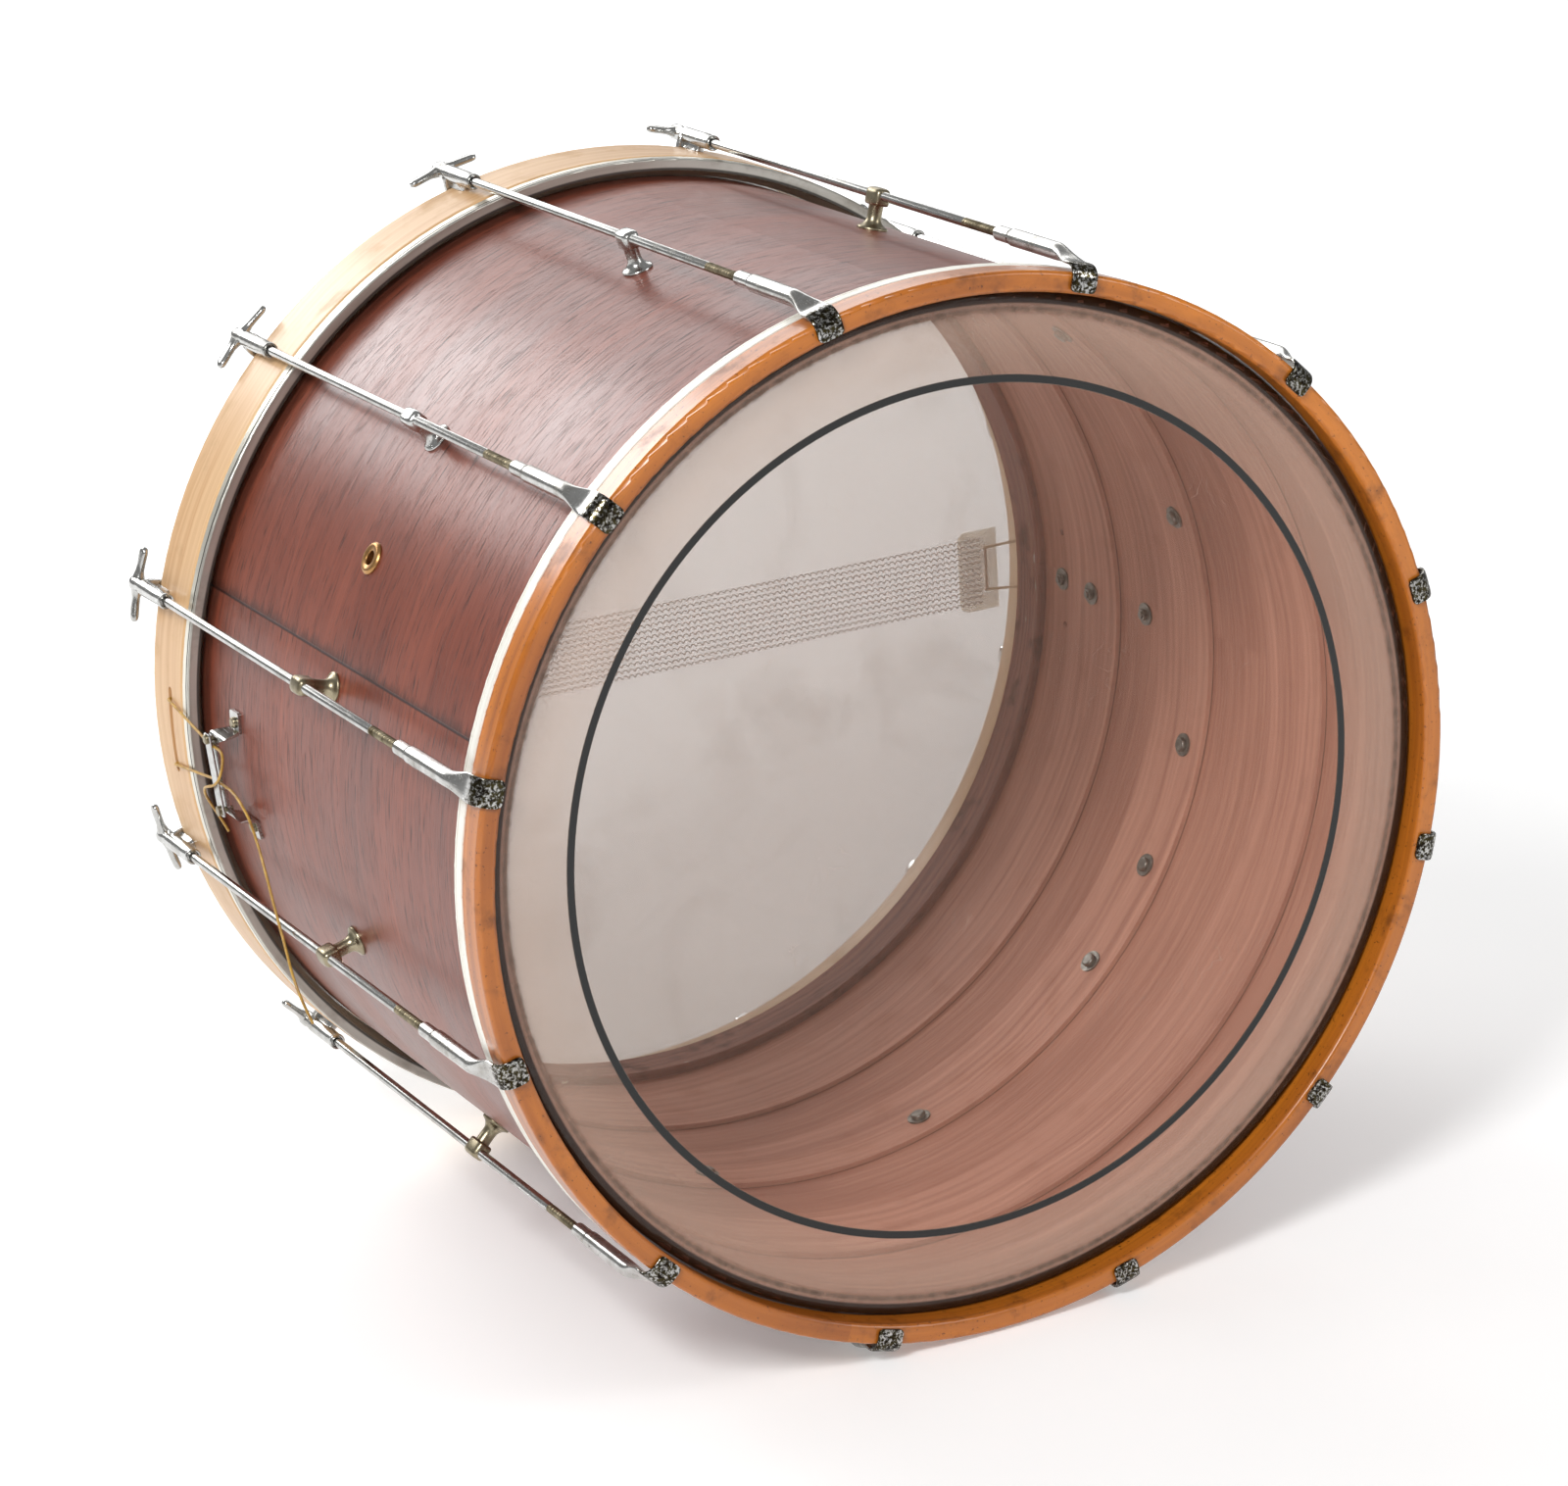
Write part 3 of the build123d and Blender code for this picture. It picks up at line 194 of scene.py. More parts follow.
# ===================================================================== node tools
class Nodes:
    """Adds nodes to a tree; a value given as a socket is linked, any other is set."""

    def __init__(self, tree):
        self.tree = tree

    def add(self, kind, settings=None, **values):
        node = self.tree.nodes.new(kind)
        for name, value in (settings or {}).items():
            setattr(node, name, value)
        for name, value in values.items():
            key = int(name[1:]) if name[0] == "_" and name[1:].isdigit() else name.replace("_", " ")
            socket = node.inputs[key]
            if isinstance(value, bpy.types.NodeSocket):
                self.tree.links.new(value, socket)
            else:
                socket.default_value = value
        return node

    def math(self, operation, first, second=0.0, clamp=False):
        settings = {"operation": operation, "use_clamp": clamp}
        return self.add("ShaderNodeMath", settings, _0=first, _1=second).outputs[0]

    def mix(self, factor, first, second, blend="MIX"):
        node = self.add(
            "ShaderNodeMix",
            {"data_type": "RGBA", "blend_type": blend},
            _0=factor,
            _6=first,
            _7=second,
        )
        return node.outputs[2]

    def range(self, value, low, high, to_low=0.0, to_high=1.0, smooth=False):
        settings = {"interpolation_type": "SMOOTHSTEP" if smooth else "LINEAR"}
        node = self.add(
            "ShaderNodeMapRange", settings, _0=value, _1=low, _2=high, _3=to_low, _4=to_high
        )
        return node.outputs[0]

    def noise(self, vector, scale, detail=4.0, roughness=0.55, distortion=0.0):
        node = self.add(
            "ShaderNodeTexNoise",
            Vector=vector,
            Scale=scale,
            Detail=detail,
            Roughness=roughness,
            Distortion=distortion,
        )
        return node.outputs["Fac"]

    def stretched(self, vector, scale):
        node = self.add("ShaderNodeVectorMath", {"operation": "MULTIPLY"}, _0=vector, _1=scale)
        return node.outputs[0]


def effect(name, inputs, outputs):
    """Starts a shader node group with named sockets; returns it, its nodes and its inputs."""
    group = bpy.data.node_groups.new(name, "ShaderNodeTree")
    kinds = {"value": "NodeSocketFloat", "vector": "NodeSocketVector", "colour": "NodeSocketColor"}
    for socket, kind, default in inputs:
        made = group.interface.new_socket(socket, in_out="INPUT", socket_type=kinds[kind])
        if default is not None:
            made.default_value = default
    for socket, kind in outputs:
        group.interface.new_socket(socket, in_out="OUTPUT", socket_type=kinds[kind])
    nodes = Nodes(group)
    entry = group.nodes.new("NodeGroupInput").outputs
    exit_node = group.nodes.new("NodeGroupOutput")
    return group, nodes, entry, exit_node.inputs


def place_effect(nodes, group, **values):
    """Places an effect in a material and gives its outputs."""
    node = nodes.tree.nodes.new("ShaderNodeGroup")
    node.node_tree = group
    for name, value in values.items():
        socket = node.inputs[name.replace("_", " ")]
        if isinstance(value, bpy.types.NodeSocket):
            nodes.tree.links.new(value, socket)
        else:
            socket.default_value = value
    return node.outputs


def drum_coordinates():
    """Unrolls the drum: distance round at a radius, distance behind the front, distance out."""
    group, nodes, entry, out = effect(
        "Drum coordinates",
        [("Joint Angle", "value", 0.0), ("Radius", "value", 0.3)],
        [("Unrolled", "vector"), ("Out", "value"), ("Behind", "value"), ("Turn", "value")],
    )
    place = nodes.add("ShaderNodeTexCoord").outputs["Object"]
    apart = nodes.add("ShaderNodeSeparateXYZ", _0=place).outputs
    height = nodes.math("SUBTRACT", apart[2], AXIS_Z)
    turn = nodes.math("ARCTAN2", height, apart[0])
    shifted = nodes.math("SUBTRACT", turn, entry["Joint Angle"])
    wrapped = nodes.math("FLOORED_MODULO", shifted, 2 * math.pi)
    round_drum = nodes.math("MULTIPLY", wrapped, entry["Radius"])
    squares = nodes.math(
        "ADD", nodes.math("MULTIPLY", apart[0], apart[0]), nodes.math("MULTIPLY", height, height)
    )
    outward = nodes.math("SQRT", squares)
    behind = nodes.math("SUBTRACT", apart[1], FRONT)
    unrolled = nodes.add("ShaderNodeCombineXYZ", _0=round_drum, _1=behind, _2=outward).outputs[0]
    tree = group.links
    tree.new(unrolled, out["Unrolled"])
    tree.new(outward, out["Out"])
    tree.new(behind, out["Behind"])
    tree.new(wrapped, out["Turn"])
    return group


def wood_grain():
    """Long streaks, fine dark pores and slow clouds, with the grain along X."""
    group, nodes, entry, out = effect(
        "Wood grain",
        [("Vector", "vector", None), ("Streak Scale", "value", 1.0), ("Pore Scale", "value", 1.0)],
        [("Streaks", "value"), ("Pores", "value"), ("Clouds", "value"), ("Fibre", "value")],
    )
    streak_size = nodes.add(
        "ShaderNodeCombineXYZ",
        _0=nodes.math("MULTIPLY", entry["Streak Scale"], 5.0),
        _1=nodes.math("MULTIPLY", entry["Streak Scale"], 230.0),
        _2=40.0,
    ).outputs[0]
    wander = nodes.noise(nodes.stretched(entry["Vector"], (7, 12, 7)), 1.0, 2.0)
    pushed = nodes.add(
        "ShaderNodeVectorMath",
        {"operation": "ADD"},
        _0=entry["Vector"],
        _1=nodes.stretched(
            nodes.add("ShaderNodeCombineXYZ", _1=nodes.math("SUBTRACT", wander, 0.5)).outputs[0],
            (0, 0.014, 0),
        ),
    ).outputs[0]
    streaks = nodes.noise(nodes.stretched(pushed, streak_size), 1.0, 5.0, 0.6)
    pore_size = nodes.add(
        "ShaderNodeCombineXYZ",
        _0=nodes.math("MULTIPLY", entry["Pore Scale"], 55.0),
        _1=nodes.math("MULTIPLY", entry["Pore Scale"], 1150.0),
        _2=300.0,
    ).outputs[0]
    pores = nodes.noise(nodes.stretched(pushed, pore_size), 1.0, 2.0, 0.5)
    fibre_size = nodes.add(
        "ShaderNodeCombineXYZ",
        _0=nodes.math("MULTIPLY", entry["Pore Scale"], 14.0),
        _1=nodes.math("MULTIPLY", entry["Pore Scale"], 700.0),
        _2=120.0,
    ).outputs[0]
    fibre = nodes.noise(nodes.stretched(pushed, fibre_size), 1.0, 4.0, 0.65)
    clouds = nodes.noise(nodes.stretched(entry["Vector"], (5, 14, 9)), 1.0, 3.0)
    tree = group.links
    tree.new(nodes.range(streaks, 0.30, 0.70), out["Streaks"])
    tree.new(nodes.range(pores, 0.585, 0.68), out["Pores"])
    tree.new(nodes.range(clouds, 0.32, 0.68), out["Clouds"])
    tree.new(nodes.range(fibre, 0.32, 0.68), out["Fibre"])
    return group


def specks():
    """Scattered dark specks and smears of old dirt."""
    group, nodes, entry, out = effect(
        "Specks",
        [("Vector", "vector", None), ("Scale", "value", 1.0), ("Amount", "value", 0.5)],
        [("Specks", "value"), ("Smears", "value")],
    )
    size = nodes.math("MULTIPLY", entry["Scale"], 420.0)
    fine = nodes.noise(entry["Vector"], size, 3.0, 0.7)
    broad = nodes.noise(entry["Vector"], nodes.math("MULTIPLY", entry["Scale"], 38.0), 4.0, 0.65)
    low = nodes.range(entry["Amount"], 0.0, 1.0, 0.80, 0.52)
    tree = group.links
    tree.new(nodes.range(fine, low, nodes.math("ADD", low, 0.05)), out["Specks"])
    tree.new(nodes.range(broad, 0.52, 0.74, smooth=True), out["Smears"])
    return group


def worn_plate():
    """Pits through old plating, a dull tarnish and fine scratches."""
    group, nodes, entry, out = effect(
        "Worn plate",
        [("Pit Size", "value", 1.0), ("Pit Amount", "value", 0.4)],
        [("Pits", "value"), ("Tarnish", "value"), ("Scratches", "value")],
    )
    place = nodes.add("ShaderNodeTexCoord").outputs["Object"]
    pit_scale = nodes.math("DIVIDE", 1500.0, entry["Pit Size"])
    fine = nodes.noise(place, pit_scale, 3.0, 0.7)
    patches = nodes.noise(place, 130.0, 3.0, 0.6)
    low = nodes.range(entry["Pit Amount"], 0.0, 1.0, 0.78, 0.50)
    shifted = nodes.math("ADD", fine, nodes.math("MULTIPLY", nodes.math("SUBTRACT", patches, 0.5), 0.45))
    pits = nodes.range(shifted, low, nodes.math("ADD", low, 0.05))
    scratch = nodes.noise(nodes.stretched(place, (900, 60, 900)), 1.0, 2.0, 0.6)
    tree = group.links
    tree.new(pits, out["Pits"])
    tree.new(nodes.range(nodes.noise(place, 60.0, 5.0, 0.65), 0.40, 0.72), out["Tarnish"])
    tree.new(nodes.range(scratch, 0.58, 0.70), out["Scratches"])
    return group


def band():
    """A soft-edged band round the drum's axis, or along it, at a distance."""
    group, nodes, entry, out = effect(
        "Band",
        [("Distance", "value", 0.0), ("Middle", "value", 0.0), ("Half Width", "value", 0.01), ("Edge", "value", 0.001)],
        [("Mask", "value")],
    )
    away = nodes.math("ABSOLUTE", nodes.math("SUBTRACT", entry["Distance"], entry["Middle"]))
    low = nodes.math("SUBTRACT", entry["Half Width"], entry["Edge"])
    high = nodes.math("ADD", entry["Half Width"], entry["Edge"])
    mask = nodes.range(away, low, high, 1.0, 0.0, smooth=True)
    group.links.new(mask, out["Mask"])
    return group


EFFECTS = {}


def effects():
    """The shared effects, built once."""
    if not EFFECTS:
        EFFECTS.update(
            drum=drum_coordinates(), grain=wood_grain(), specks=specks(), plate=worn_plate(), band=band()
        )
    return EFFECTS


def new_finish(name, **constants):
    """A material with one Principled shader whose plain numbers sit on its own sockets."""
    material = bpy.data.materials.new(name)
    material.use_nodes = True
    material.node_tree.nodes.clear()
    nodes = Nodes(material.node_tree)
    shader = nodes.add("ShaderNodeBsdfPrincipled")
    output = nodes.add("ShaderNodeOutputMaterial")
    material.node_tree.links.new(shader.outputs[0], output.inputs[0])
    for key, value in constants.items():
        shader.inputs[key.replace("_", " ")].default_value = value
    return material, nodes, shader


def feed(nodes, shader, **sockets):
    for key, socket in sockets.items():
        nodes.tree.links.new(socket, shader.inputs[key.replace("_", " ")])


def bump(nodes, shader, height, distance, strength=1.0):
    node = nodes.add("ShaderNodeBump", Height=height, Distance=distance, Strength=strength)
    nodes.tree.links.new(node.outputs[0], shader.inputs["Normal"])


def rgb(colour):
    return (colour[0], colour[1], colour[2], 1.0)


def paint(red, green, blue):
    """A colour given as it looks on paper, 0 to 255, as the linear one that nodes use."""
    return tuple(
        (part / 255 / 12.92) if part <= 10 else ((part / 255 + 0.055) / 1.055) ** 2.4
        for part in (red, green, blue)
    )


# ============================================================= sizes and colours to change
def colour_choice(name, description, default):
    return FloatVectorProperty(
        name=name, description=description, subtype="COLOR", size=3, min=0, max=1, default=default
    )


def length_choice(name, description, default):
    return FloatProperty(
        name=name, description=description, default=default, min=0, subtype="DISTANCE", unit="LENGTH"
    )


class DrumSizes(bpy.types.PropertyGroup):
    """Sizes of the finer shapes, in metres."""

    thread_pitch: length_choice("Thread Pitch", "Distance from one thread of a rod to the next", 1.058 * MM)
    thread_end: length_choice("Thread End", "Where a rod's thread stops, behind the front", 137 * MM)
    coil_pitch: length_choice("Coil Pitch", "Distance from one turn of a snare to the next", 4.6 * MM)
    coil_wire: length_choice("Coil Wire", "Thickness of the snare wire", 0.72 * MM)
    seam_angle: FloatProperty(
        name="Seam Angle",
        description="Where the shell's veneer meets itself",
        default=math.radians(162),
        subtype="ANGLE",
        unit="ROTATION",
    )
    stripe_radius: length_choice("Stripe Radius", "Middle of the black ring on the front head", 254.7 * MM)
    stripe_width: length_choice("Stripe Width", "Width of the black ring on the front head", 4.6 * MM)
    strand_count: IntProperty(name="Strands", description="Number of snare strands", default=12, min=1)


class DrumColours(bpy.types.PropertyGroup):
    """Colours of the woods, films, metals and cords."""

    shell_light: colour_choice("Shell Light", "Lighter streaks of the shell's veneer", paint(150, 78, 56))
    shell_dark: colour_choice("Shell Dark", "Darker streaks of the shell's veneer", paint(98, 44, 31))
    pore: colour_choice("Pores", "Open pores of the veneer", paint(40, 17, 13))
    inside_light: colour_choice("Inside Light", "Bare wood inside the shell", paint(206, 152, 128))
    inside_dark: colour_choice("Inside Dark", "Darker grain inside the shell", paint(160, 104, 84))
    front_hoop: colour_choice("Front Hoop", "Amber varnish of the front hoop", paint(206, 122, 34))
    front_hoop_dark: colour_choice("Front Hoop Dark", "Dark streaks of the front hoop", paint(122, 58, 16))
    rear_hoop: colour_choice("Rear Hoop", "Pale maple of the rear hoop", paint(226, 190, 145))
    rear_hoop_dark: colour_choice("Rear Hoop Dark", "Grain of the rear hoop", paint(196, 150, 102))
    film: colour_choice("Film", "Haze on the front head", paint(196, 170, 152))
    rear_film: colour_choice("Rear Film", "Translucent rear head", paint(226, 221, 210))
    chrome: colour_choice("Chrome", "Plate on the rods and claws", paint(200, 200, 198))
    nickel: colour_choice("Nickel", "Tarnished plate on the posts", paint(164, 154, 130))
    brass: colour_choice("Brass", "Vent grommet and rod threads", paint(196, 150, 98))
    gut: colour_choice("Gut", "Snare cords", paint(206, 164, 74))


def sizes():
    return bpy.context.scene.drum_sizes


def colours():
    return bpy.context.scene.drum_colours


# ========================================================================== finishes
FINISHES = {}


def finish(name):
    """A finish by its name, made when it is first asked for."""
    if name not in FINISHES:
        FINISHES[name] = FINISH_MAKERS[name]()
    return FINISHES[name]


def wood_layers(nodes, radius, joint_angle=0.0, streak=1.0, pore=1.0, crosswise=False):
    """Drum coordinates and grain, running round the drum or along it."""
    drum = place_effect(nodes, effects()["drum"], Joint_Angle=joint_angle, Radius=radius)
    vector = drum["Unrolled"]
    if crosswise:
        apart = nodes.add("ShaderNodeSeparateXYZ", _0=vector).outputs
        vector = nodes.add("ShaderNodeCombineXYZ", _0=apart[1], _1=apart[0], _2=apart[2]).outputs[0]
    grain = place_effect(nodes, effects()["grain"], Vector=vector, Streak_Scale=streak, Pore_Scale=pore)
    return drum, grain


RING_EDGES = [corner.y - FRONT for number in (1, 2, 3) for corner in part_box(f"middle_ring_{number}")]


def ring_step_shade(nodes, behind):
    """Painted shade lines where the inner rings end."""
    lines = 0.0
    for edge in RING_EDGES:
        line = place_effect(
            nodes, effects()["band"], Distance=behind, Middle=edge, Half_Width=1.0 * MM, Edge=0.8 * MM
        )["Mask"]
        lines = nodes.math("MAXIMUM", lines, line)
    return nodes.math("MULTIPLY", lines, 0.75)


def shell_finish():
    """Glossy mahogany veneer outside, bare cross-grained wood inside."""
    chosen = colours()
    material, nodes, shader = new_finish("mahogany_shell", Coat_Roughness=0.2)
    shader.inputs["Specular IOR Level"].default_value = 0.36
    drum, grain = wood_layers(nodes, SHELL_RADIUS, sizes().seam_angle, 1.0, 1.0)
    tone = nodes.math("ADD", nodes.math("MULTIPLY", grain["Streaks"], 0.45), nodes.math("MULTIPLY", grain["Clouds"], 0.55))
    colour = nodes.mix(tone, rgb(chosen.shell_dark), rgb(chosen.shell_light))
    colour = nodes.mix(nodes.math("MULTIPLY", grain["Fibre"], 0.40), colour, rgb(chosen.shell_dark))
    colour = nodes.mix(nodes.math("MULTIPLY", grain["Pores"], 0.85), colour, rgb(chosen.pore))
    dirt = place_effect(nodes, effects()["specks"], Vector=drum["Unrolled"], Scale=1.0, Amount=0.32)
    colour = nodes.mix(nodes.math("MULTIPLY", dirt["Specks"], 0.6), colour, rgb(paint(34, 16, 12)))
    wrap = nodes.math("MINIMUM", drum["Turn"], nodes.math("SUBTRACT", 2 * math.pi, drum["Turn"]))
    seam = nodes.range(wrap, 0.0010, 0.0042, 1.0, 0.0, smooth=True)
    ragged = nodes.noise(nodes.stretched(drum["Unrolled"], (1, 160, 1)), 1.0, 4.0, 0.7)
    stain_reach = nodes.range(ragged, 0.35, 0.75, 0.004, 0.05)
    stain = nodes.range(nodes.math("SUBTRACT", 2 * math.pi, drum["Turn"]), 0.0, stain_reach, 0.8, 0.0)
    colour = nodes.mix(nodes.math("MAXIMUM", seam, stain), colour, rgb(paint(44, 18, 14)))
    # painted shade and grime on the shell where it meets the rear flesh hoop
    edge = place_effect(
        nodes, effects()["band"], Distance=drum["Behind"], Middle=437 * MM, Half_Width=5 * MM, Edge=4 * MM
    )["Mask"]
    colour = nodes.mix(nodes.math("MULTIPLY", edge, 0.6), colour, rgb(paint(40, 20, 15)))
    outside = nodes.range(drum["Out"], SHELL_RADIUS - 4 * MM, SHELL_RADIUS - 3 * MM)
    _, inner = wood_layers(nodes, SHELL_RADIUS, 0.0, 0.8, 0.8)
    bare_tone = nodes.math("ADD", nodes.math("MULTIPLY", inner["Clouds"], 0.5), nodes.math("MULTIPLY", inner["Streaks"], 0.5))
    bare = nodes.mix(bare_tone, rgb(chosen.inside_dark), rgb(chosen.inside_light))
    bare = nodes.mix(nodes.math("MULTIPLY", inner["Fibre"], 0.45), bare, rgb(paint(140, 88, 70)))
    # painted shade at the inner rings' ends darkens the bare wood
    bare = nodes.mix(ring_step_shade(nodes, drum["Behind"]), bare, rgb(paint(62, 34, 24)))
    feed(
        nodes,
        shader,
        Base_Color=nodes.mix(outside, bare, colour),
        Roughness=nodes.range(outside, 0, 1, 0.62, nodes.range(grain["Clouds"], 0, 1, 0.33, 0.42)),
        Coat_Weight=nodes.math("MULTIPLY", outside, nodes.range(grain["Pores"], 0, 1, 0.14, 0.03)),
    )
    relief = nodes.math(
        "SUBTRACT",
        nodes.math("MULTIPLY", grain["Fibre"], 0.5),
        nodes.math("ADD", grain["Pores"], nodes.math("MULTIPLY", seam, 2.0)),
    )
    bump(nodes, shader, relief, 0.00012, 0.7)
    return material


def ring_finish(
    name, light, dark, radius, gloss, streak=1.0, pore=0.6, mottle=0.0, dirt_amount=0.3, coat=0.0, paper=False
):
    """Bent wood with its grain round the drum, bare or varnished."""

    def make():
        material, nodes, shader = new_finish(name, Coat_Roughness=0.15, Coat_Weight=coat)
        drum, grain = wood_layers(nodes, radius, math.radians(250), streak, pore)
        chosen = colours()
        bright = getattr(chosen, light)
        deep = getattr(chosen, dark)
        colour = nodes.mix(grain["Streaks"], rgb(deep), rgb(bright))
        colour = nodes.mix(nodes.math("MULTIPLY", grain["Clouds"], 0.35), colour, rgb(bright))
        colour = nodes.mix(nodes.math("MULTIPLY", grain["Fibre"], 0.3), colour, rgb(deep))
        dirt = place_effect(nodes, effects()["specks"], Vector=drum["Unrolled"], Scale=0.9, Amount=dirt_amount)
        shade = rgb(tuple(part * 0.22 for part in deep))
        colour = nodes.mix(nodes.math("MULTIPLY", dirt["Specks"], 0.75), colour, shade)
        colour = nodes.mix(nodes.math("MULTIPLY", dirt["Smears"], mottle), colour, shade)
        if paper:
            torn = nodes.noise(nodes.stretched(drum["Unrolled"], (26, 95, 30)), 1.0, 6.0, 0.75)
            colour = nodes.mix(nodes.range(torn, 0.66, 0.68, 0.0, 0.75), colour, rgb(paint(206, 198, 188)))
        feed(
            nodes,
            shader,
            Base_Color=colour,
            Roughness=nodes.range(dirt["Smears"], 0, 1, gloss, min(1.0, gloss + 0.18)),
        )
        bump(nodes, shader, nodes.math("SUBTRACT", grain["Fibre"], dirt["Specks"]), 0.00006, 0.35)
        return material

    return make


def front_film_finish():
    """Clear film: hazy outside the black ring, grimy near its rim, with painted shade on the collar where it bends into
    its hoop.
    """
    chosen = colours()
    material, nodes, shader = new_finish("clear_head", Roughness=0.18, IOR=1.5)
    drum = place_effect(nodes, effects()["drum"], Joint_Angle=0.0, Radius=0.3)
    out = drum["Out"]
    face = nodes.stretched(nodes.add("ShaderNodeTexCoord").outputs["Object"], (1, 0.0, 1))
    stripe = place_effect(
        nodes,
        effects()["band"],
        Distance=out,
        Middle=sizes().stripe_radius,
        Half_Width=sizes().stripe_width / 2,
        Edge=0.25 * MM,
    )["Mask"]
    cloud = nodes.noise(face, 9.0, 4.0, 0.6)
    dust = nodes.noise(face, 900.0, 3.0, 0.7)
    haze = nodes.range(out, 257 * MM, 292 * MM, 0.12, 0.24)
    haze = nodes.math("MULTIPLY", haze, nodes.range(out, sizes().stripe_radius, sizes().stripe_radius + 1 * MM))
    haze = nodes.math("MULTIPLY", haze, nodes.range(cloud, 0.3, 0.7, 0.9, 1.1))
    grain_of_dust = nodes.range(dust, 0.52, 0.75, 0.0, 0.35)
    dusty = nodes.math("MULTIPLY", grain_of_dust, nodes.range(out, 256 * MM, 296 * MM, 0.0, 1.0))
    scratch_lines = nodes.add(
        "ShaderNodeTexWave",
        {"wave_type": "RINGS", "rings_direction": "SPHERICAL"},
        Vector=nodes.add("ShaderNodeVectorMath", {"operation": "ADD"}, _0=face, _1=(0.31, 0.2, -0.41)).outputs[0],
        Scale=55.0,
        Distortion=22.0,
        Detail=3.0,
        Detail_Scale=0.6,
    ).outputs["Fac"]
    patch = nodes.range(nodes.noise(face, 14.0, 2.0), 0.56, 0.68)
    scratch = nodes.math("MULTIPLY", nodes.range(scratch_lines, 0.985, 1.0), patch)
    grime = place_effect(
        nodes, effects()["band"], Distance=out, Middle=294 * MM, Half_Width=2.2 * MM, Edge=2.0 * MM
    )["Mask"]
    ragged = nodes.range(nodes.noise(face, 120.0, 4.0, 0.7), 0.3, 0.75, 0.45, 1.0)
    grime = nodes.math("MULTIPLY", grime, ragged)
    # painted shade: the collar is darkened and made less clear where the film bends into its hoop
    collar = nodes.range(out, 296.5 * MM, 298 * MM)
    colour = nodes.mix(nodes.math("MULTIPLY", dusty, 0.8), rgb(chosen.film), rgb(paint(150, 118, 92)))
    colour = nodes.mix(grime, colour, rgb(paint(92, 62, 42)))
    colour = nodes.mix(collar, colour, rgb(paint(52, 36, 26)))
    colour = nodes.mix(stripe, colour, (0.004, 0.004, 0.004, 1))
    alpha = nodes.math("ADD", 0.05, haze)
    alpha = nodes.math("ADD", alpha, dusty)
    alpha = nodes.math("ADD", alpha, nodes.math("MULTIPLY", scratch, 0.14))
    alpha = nodes.math("MAXIMUM", alpha, nodes.math("MULTIPLY", grime, 0.8))
    alpha = nodes.math("MAXIMUM", alpha, nodes.math("MULTIPLY", collar, 0.62))
    alpha = nodes.math("MAXIMUM", alpha, stripe, clamp=True)
    feed(nodes, shader, Base_Color=colour, Alpha=alpha)
    return material


def rear_film_finish():
    """Milky film that lets light through, with faint smears and a browned rim."""
    chosen = colours()
    material, nodes, shader = new_finish("milky_head", Roughness=0.42)
    drum = place_effect(nodes, effects()["drum"], Joint_Angle=0.0, Radius=0.3)
    face = nodes.stretched(nodes.add("ShaderNodeTexCoord").outputs["Object"], (1, 0.0, 1))
    smear = nodes.range(nodes.noise(face, 11.0, 5.0, 0.65, 0.6), 0.5, 0.75)
    marks = nodes.range(nodes.noise(nodes.stretched(face, (40, 1, 260)), 1.0, 3.0, 0.6), 0.70, 0.76)
    rim = nodes.range(drum["Out"], 286 * MM, 300 * MM, 0.0, 0.7)
    colour = nodes.mix(nodes.math("MULTIPLY", smear, 0.25), rgb(chosen.rear_film), rgb(paint(190, 180, 162)))
    colour = nodes.mix(nodes.math("MULTIPLY", marks, 0.25), colour, rgb(paint(150, 138, 118)))
    colour = nodes.mix(rim, colour, rgb(paint(170, 150, 122)))
    feed(nodes, shader, Base_Color=colour, Alpha=nodes.range(smear, 0, 1, 0.42, 0.50))
    return material


def worn_end(nodes, colour, reach):
    """Rust and green showing through the plate at the front end of a claw."""
    place = nodes.add("ShaderNodeTexCoord").outputs["Object"]
    behind = place_effect(nodes, effects()["drum"], Joint_Angle=0.0, Radius=0.3)["Behind"]
    near = nodes.range(behind, reach * 0.35, reach, 0.30, 0.0)
    spots = nodes.math("ADD", nodes.noise(place, 520.0, 4.0, 0.7), near)
    dark = nodes.range(spots, 0.70, 0.80)
    rust = nodes.range(nodes.noise(place, 240.0, 3.0, 0.6), 0.4, 0.6)
    brown = nodes.mix(rust, rgb(paint(64, 58, 36)), rgb(paint(30, 24, 18)))
    return nodes.mix(dark, colour, brown)


def plate_finish(
    name, colour_name, pit_amount, shine, tarnish_colour, tarnish_share, pit_size=1.0, worn_to=0.0
):
    """Plated metal with pits, tarnish and scratches, bare and brown up to a distance behind the front."""

    def make():
        material, nodes, shader = new_finish(name, Metallic=1.0)
        plate = place_effect(nodes, effects()["plate"], Pit_Size=pit_size, Pit_Amount=pit_amount)
        base = getattr(colours(), colour_name)
        colour = nodes.mix(nodes.math("MULTIPLY", plate["Tarnish"], tarnish_share), rgb(base), rgb(tarnish_colour))
        colour = nodes.mix(plate["Pits"], colour, rgb(tuple(part * 0.16 for part in tarnish_colour)))
        if worn_to:
            colour = worn_end(nodes, colour, worn_to)
        rough = nodes.math("ADD", shine, nodes.math("MULTIPLY", plate["Tarnish"], 0.16))
        rough = nodes.math("ADD", rough, nodes.math("MULTIPLY", plate["Scratches"], 0.1))
        rough = nodes.math("ADD", rough, nodes.math("MULTIPLY", plate["Pits"], 0.4), clamp=True)
        feed(nodes, shader, Base_Color=colour, Roughness=rough)
        relief = nodes.math("ADD", plate["Pits"], nodes.math("MULTIPLY", plate["Scratches"], 0.15))
        bump(nodes, shader, nodes.math("MULTIPLY", relief, -1.0), 0.00015, 0.8)
        return material

    return make


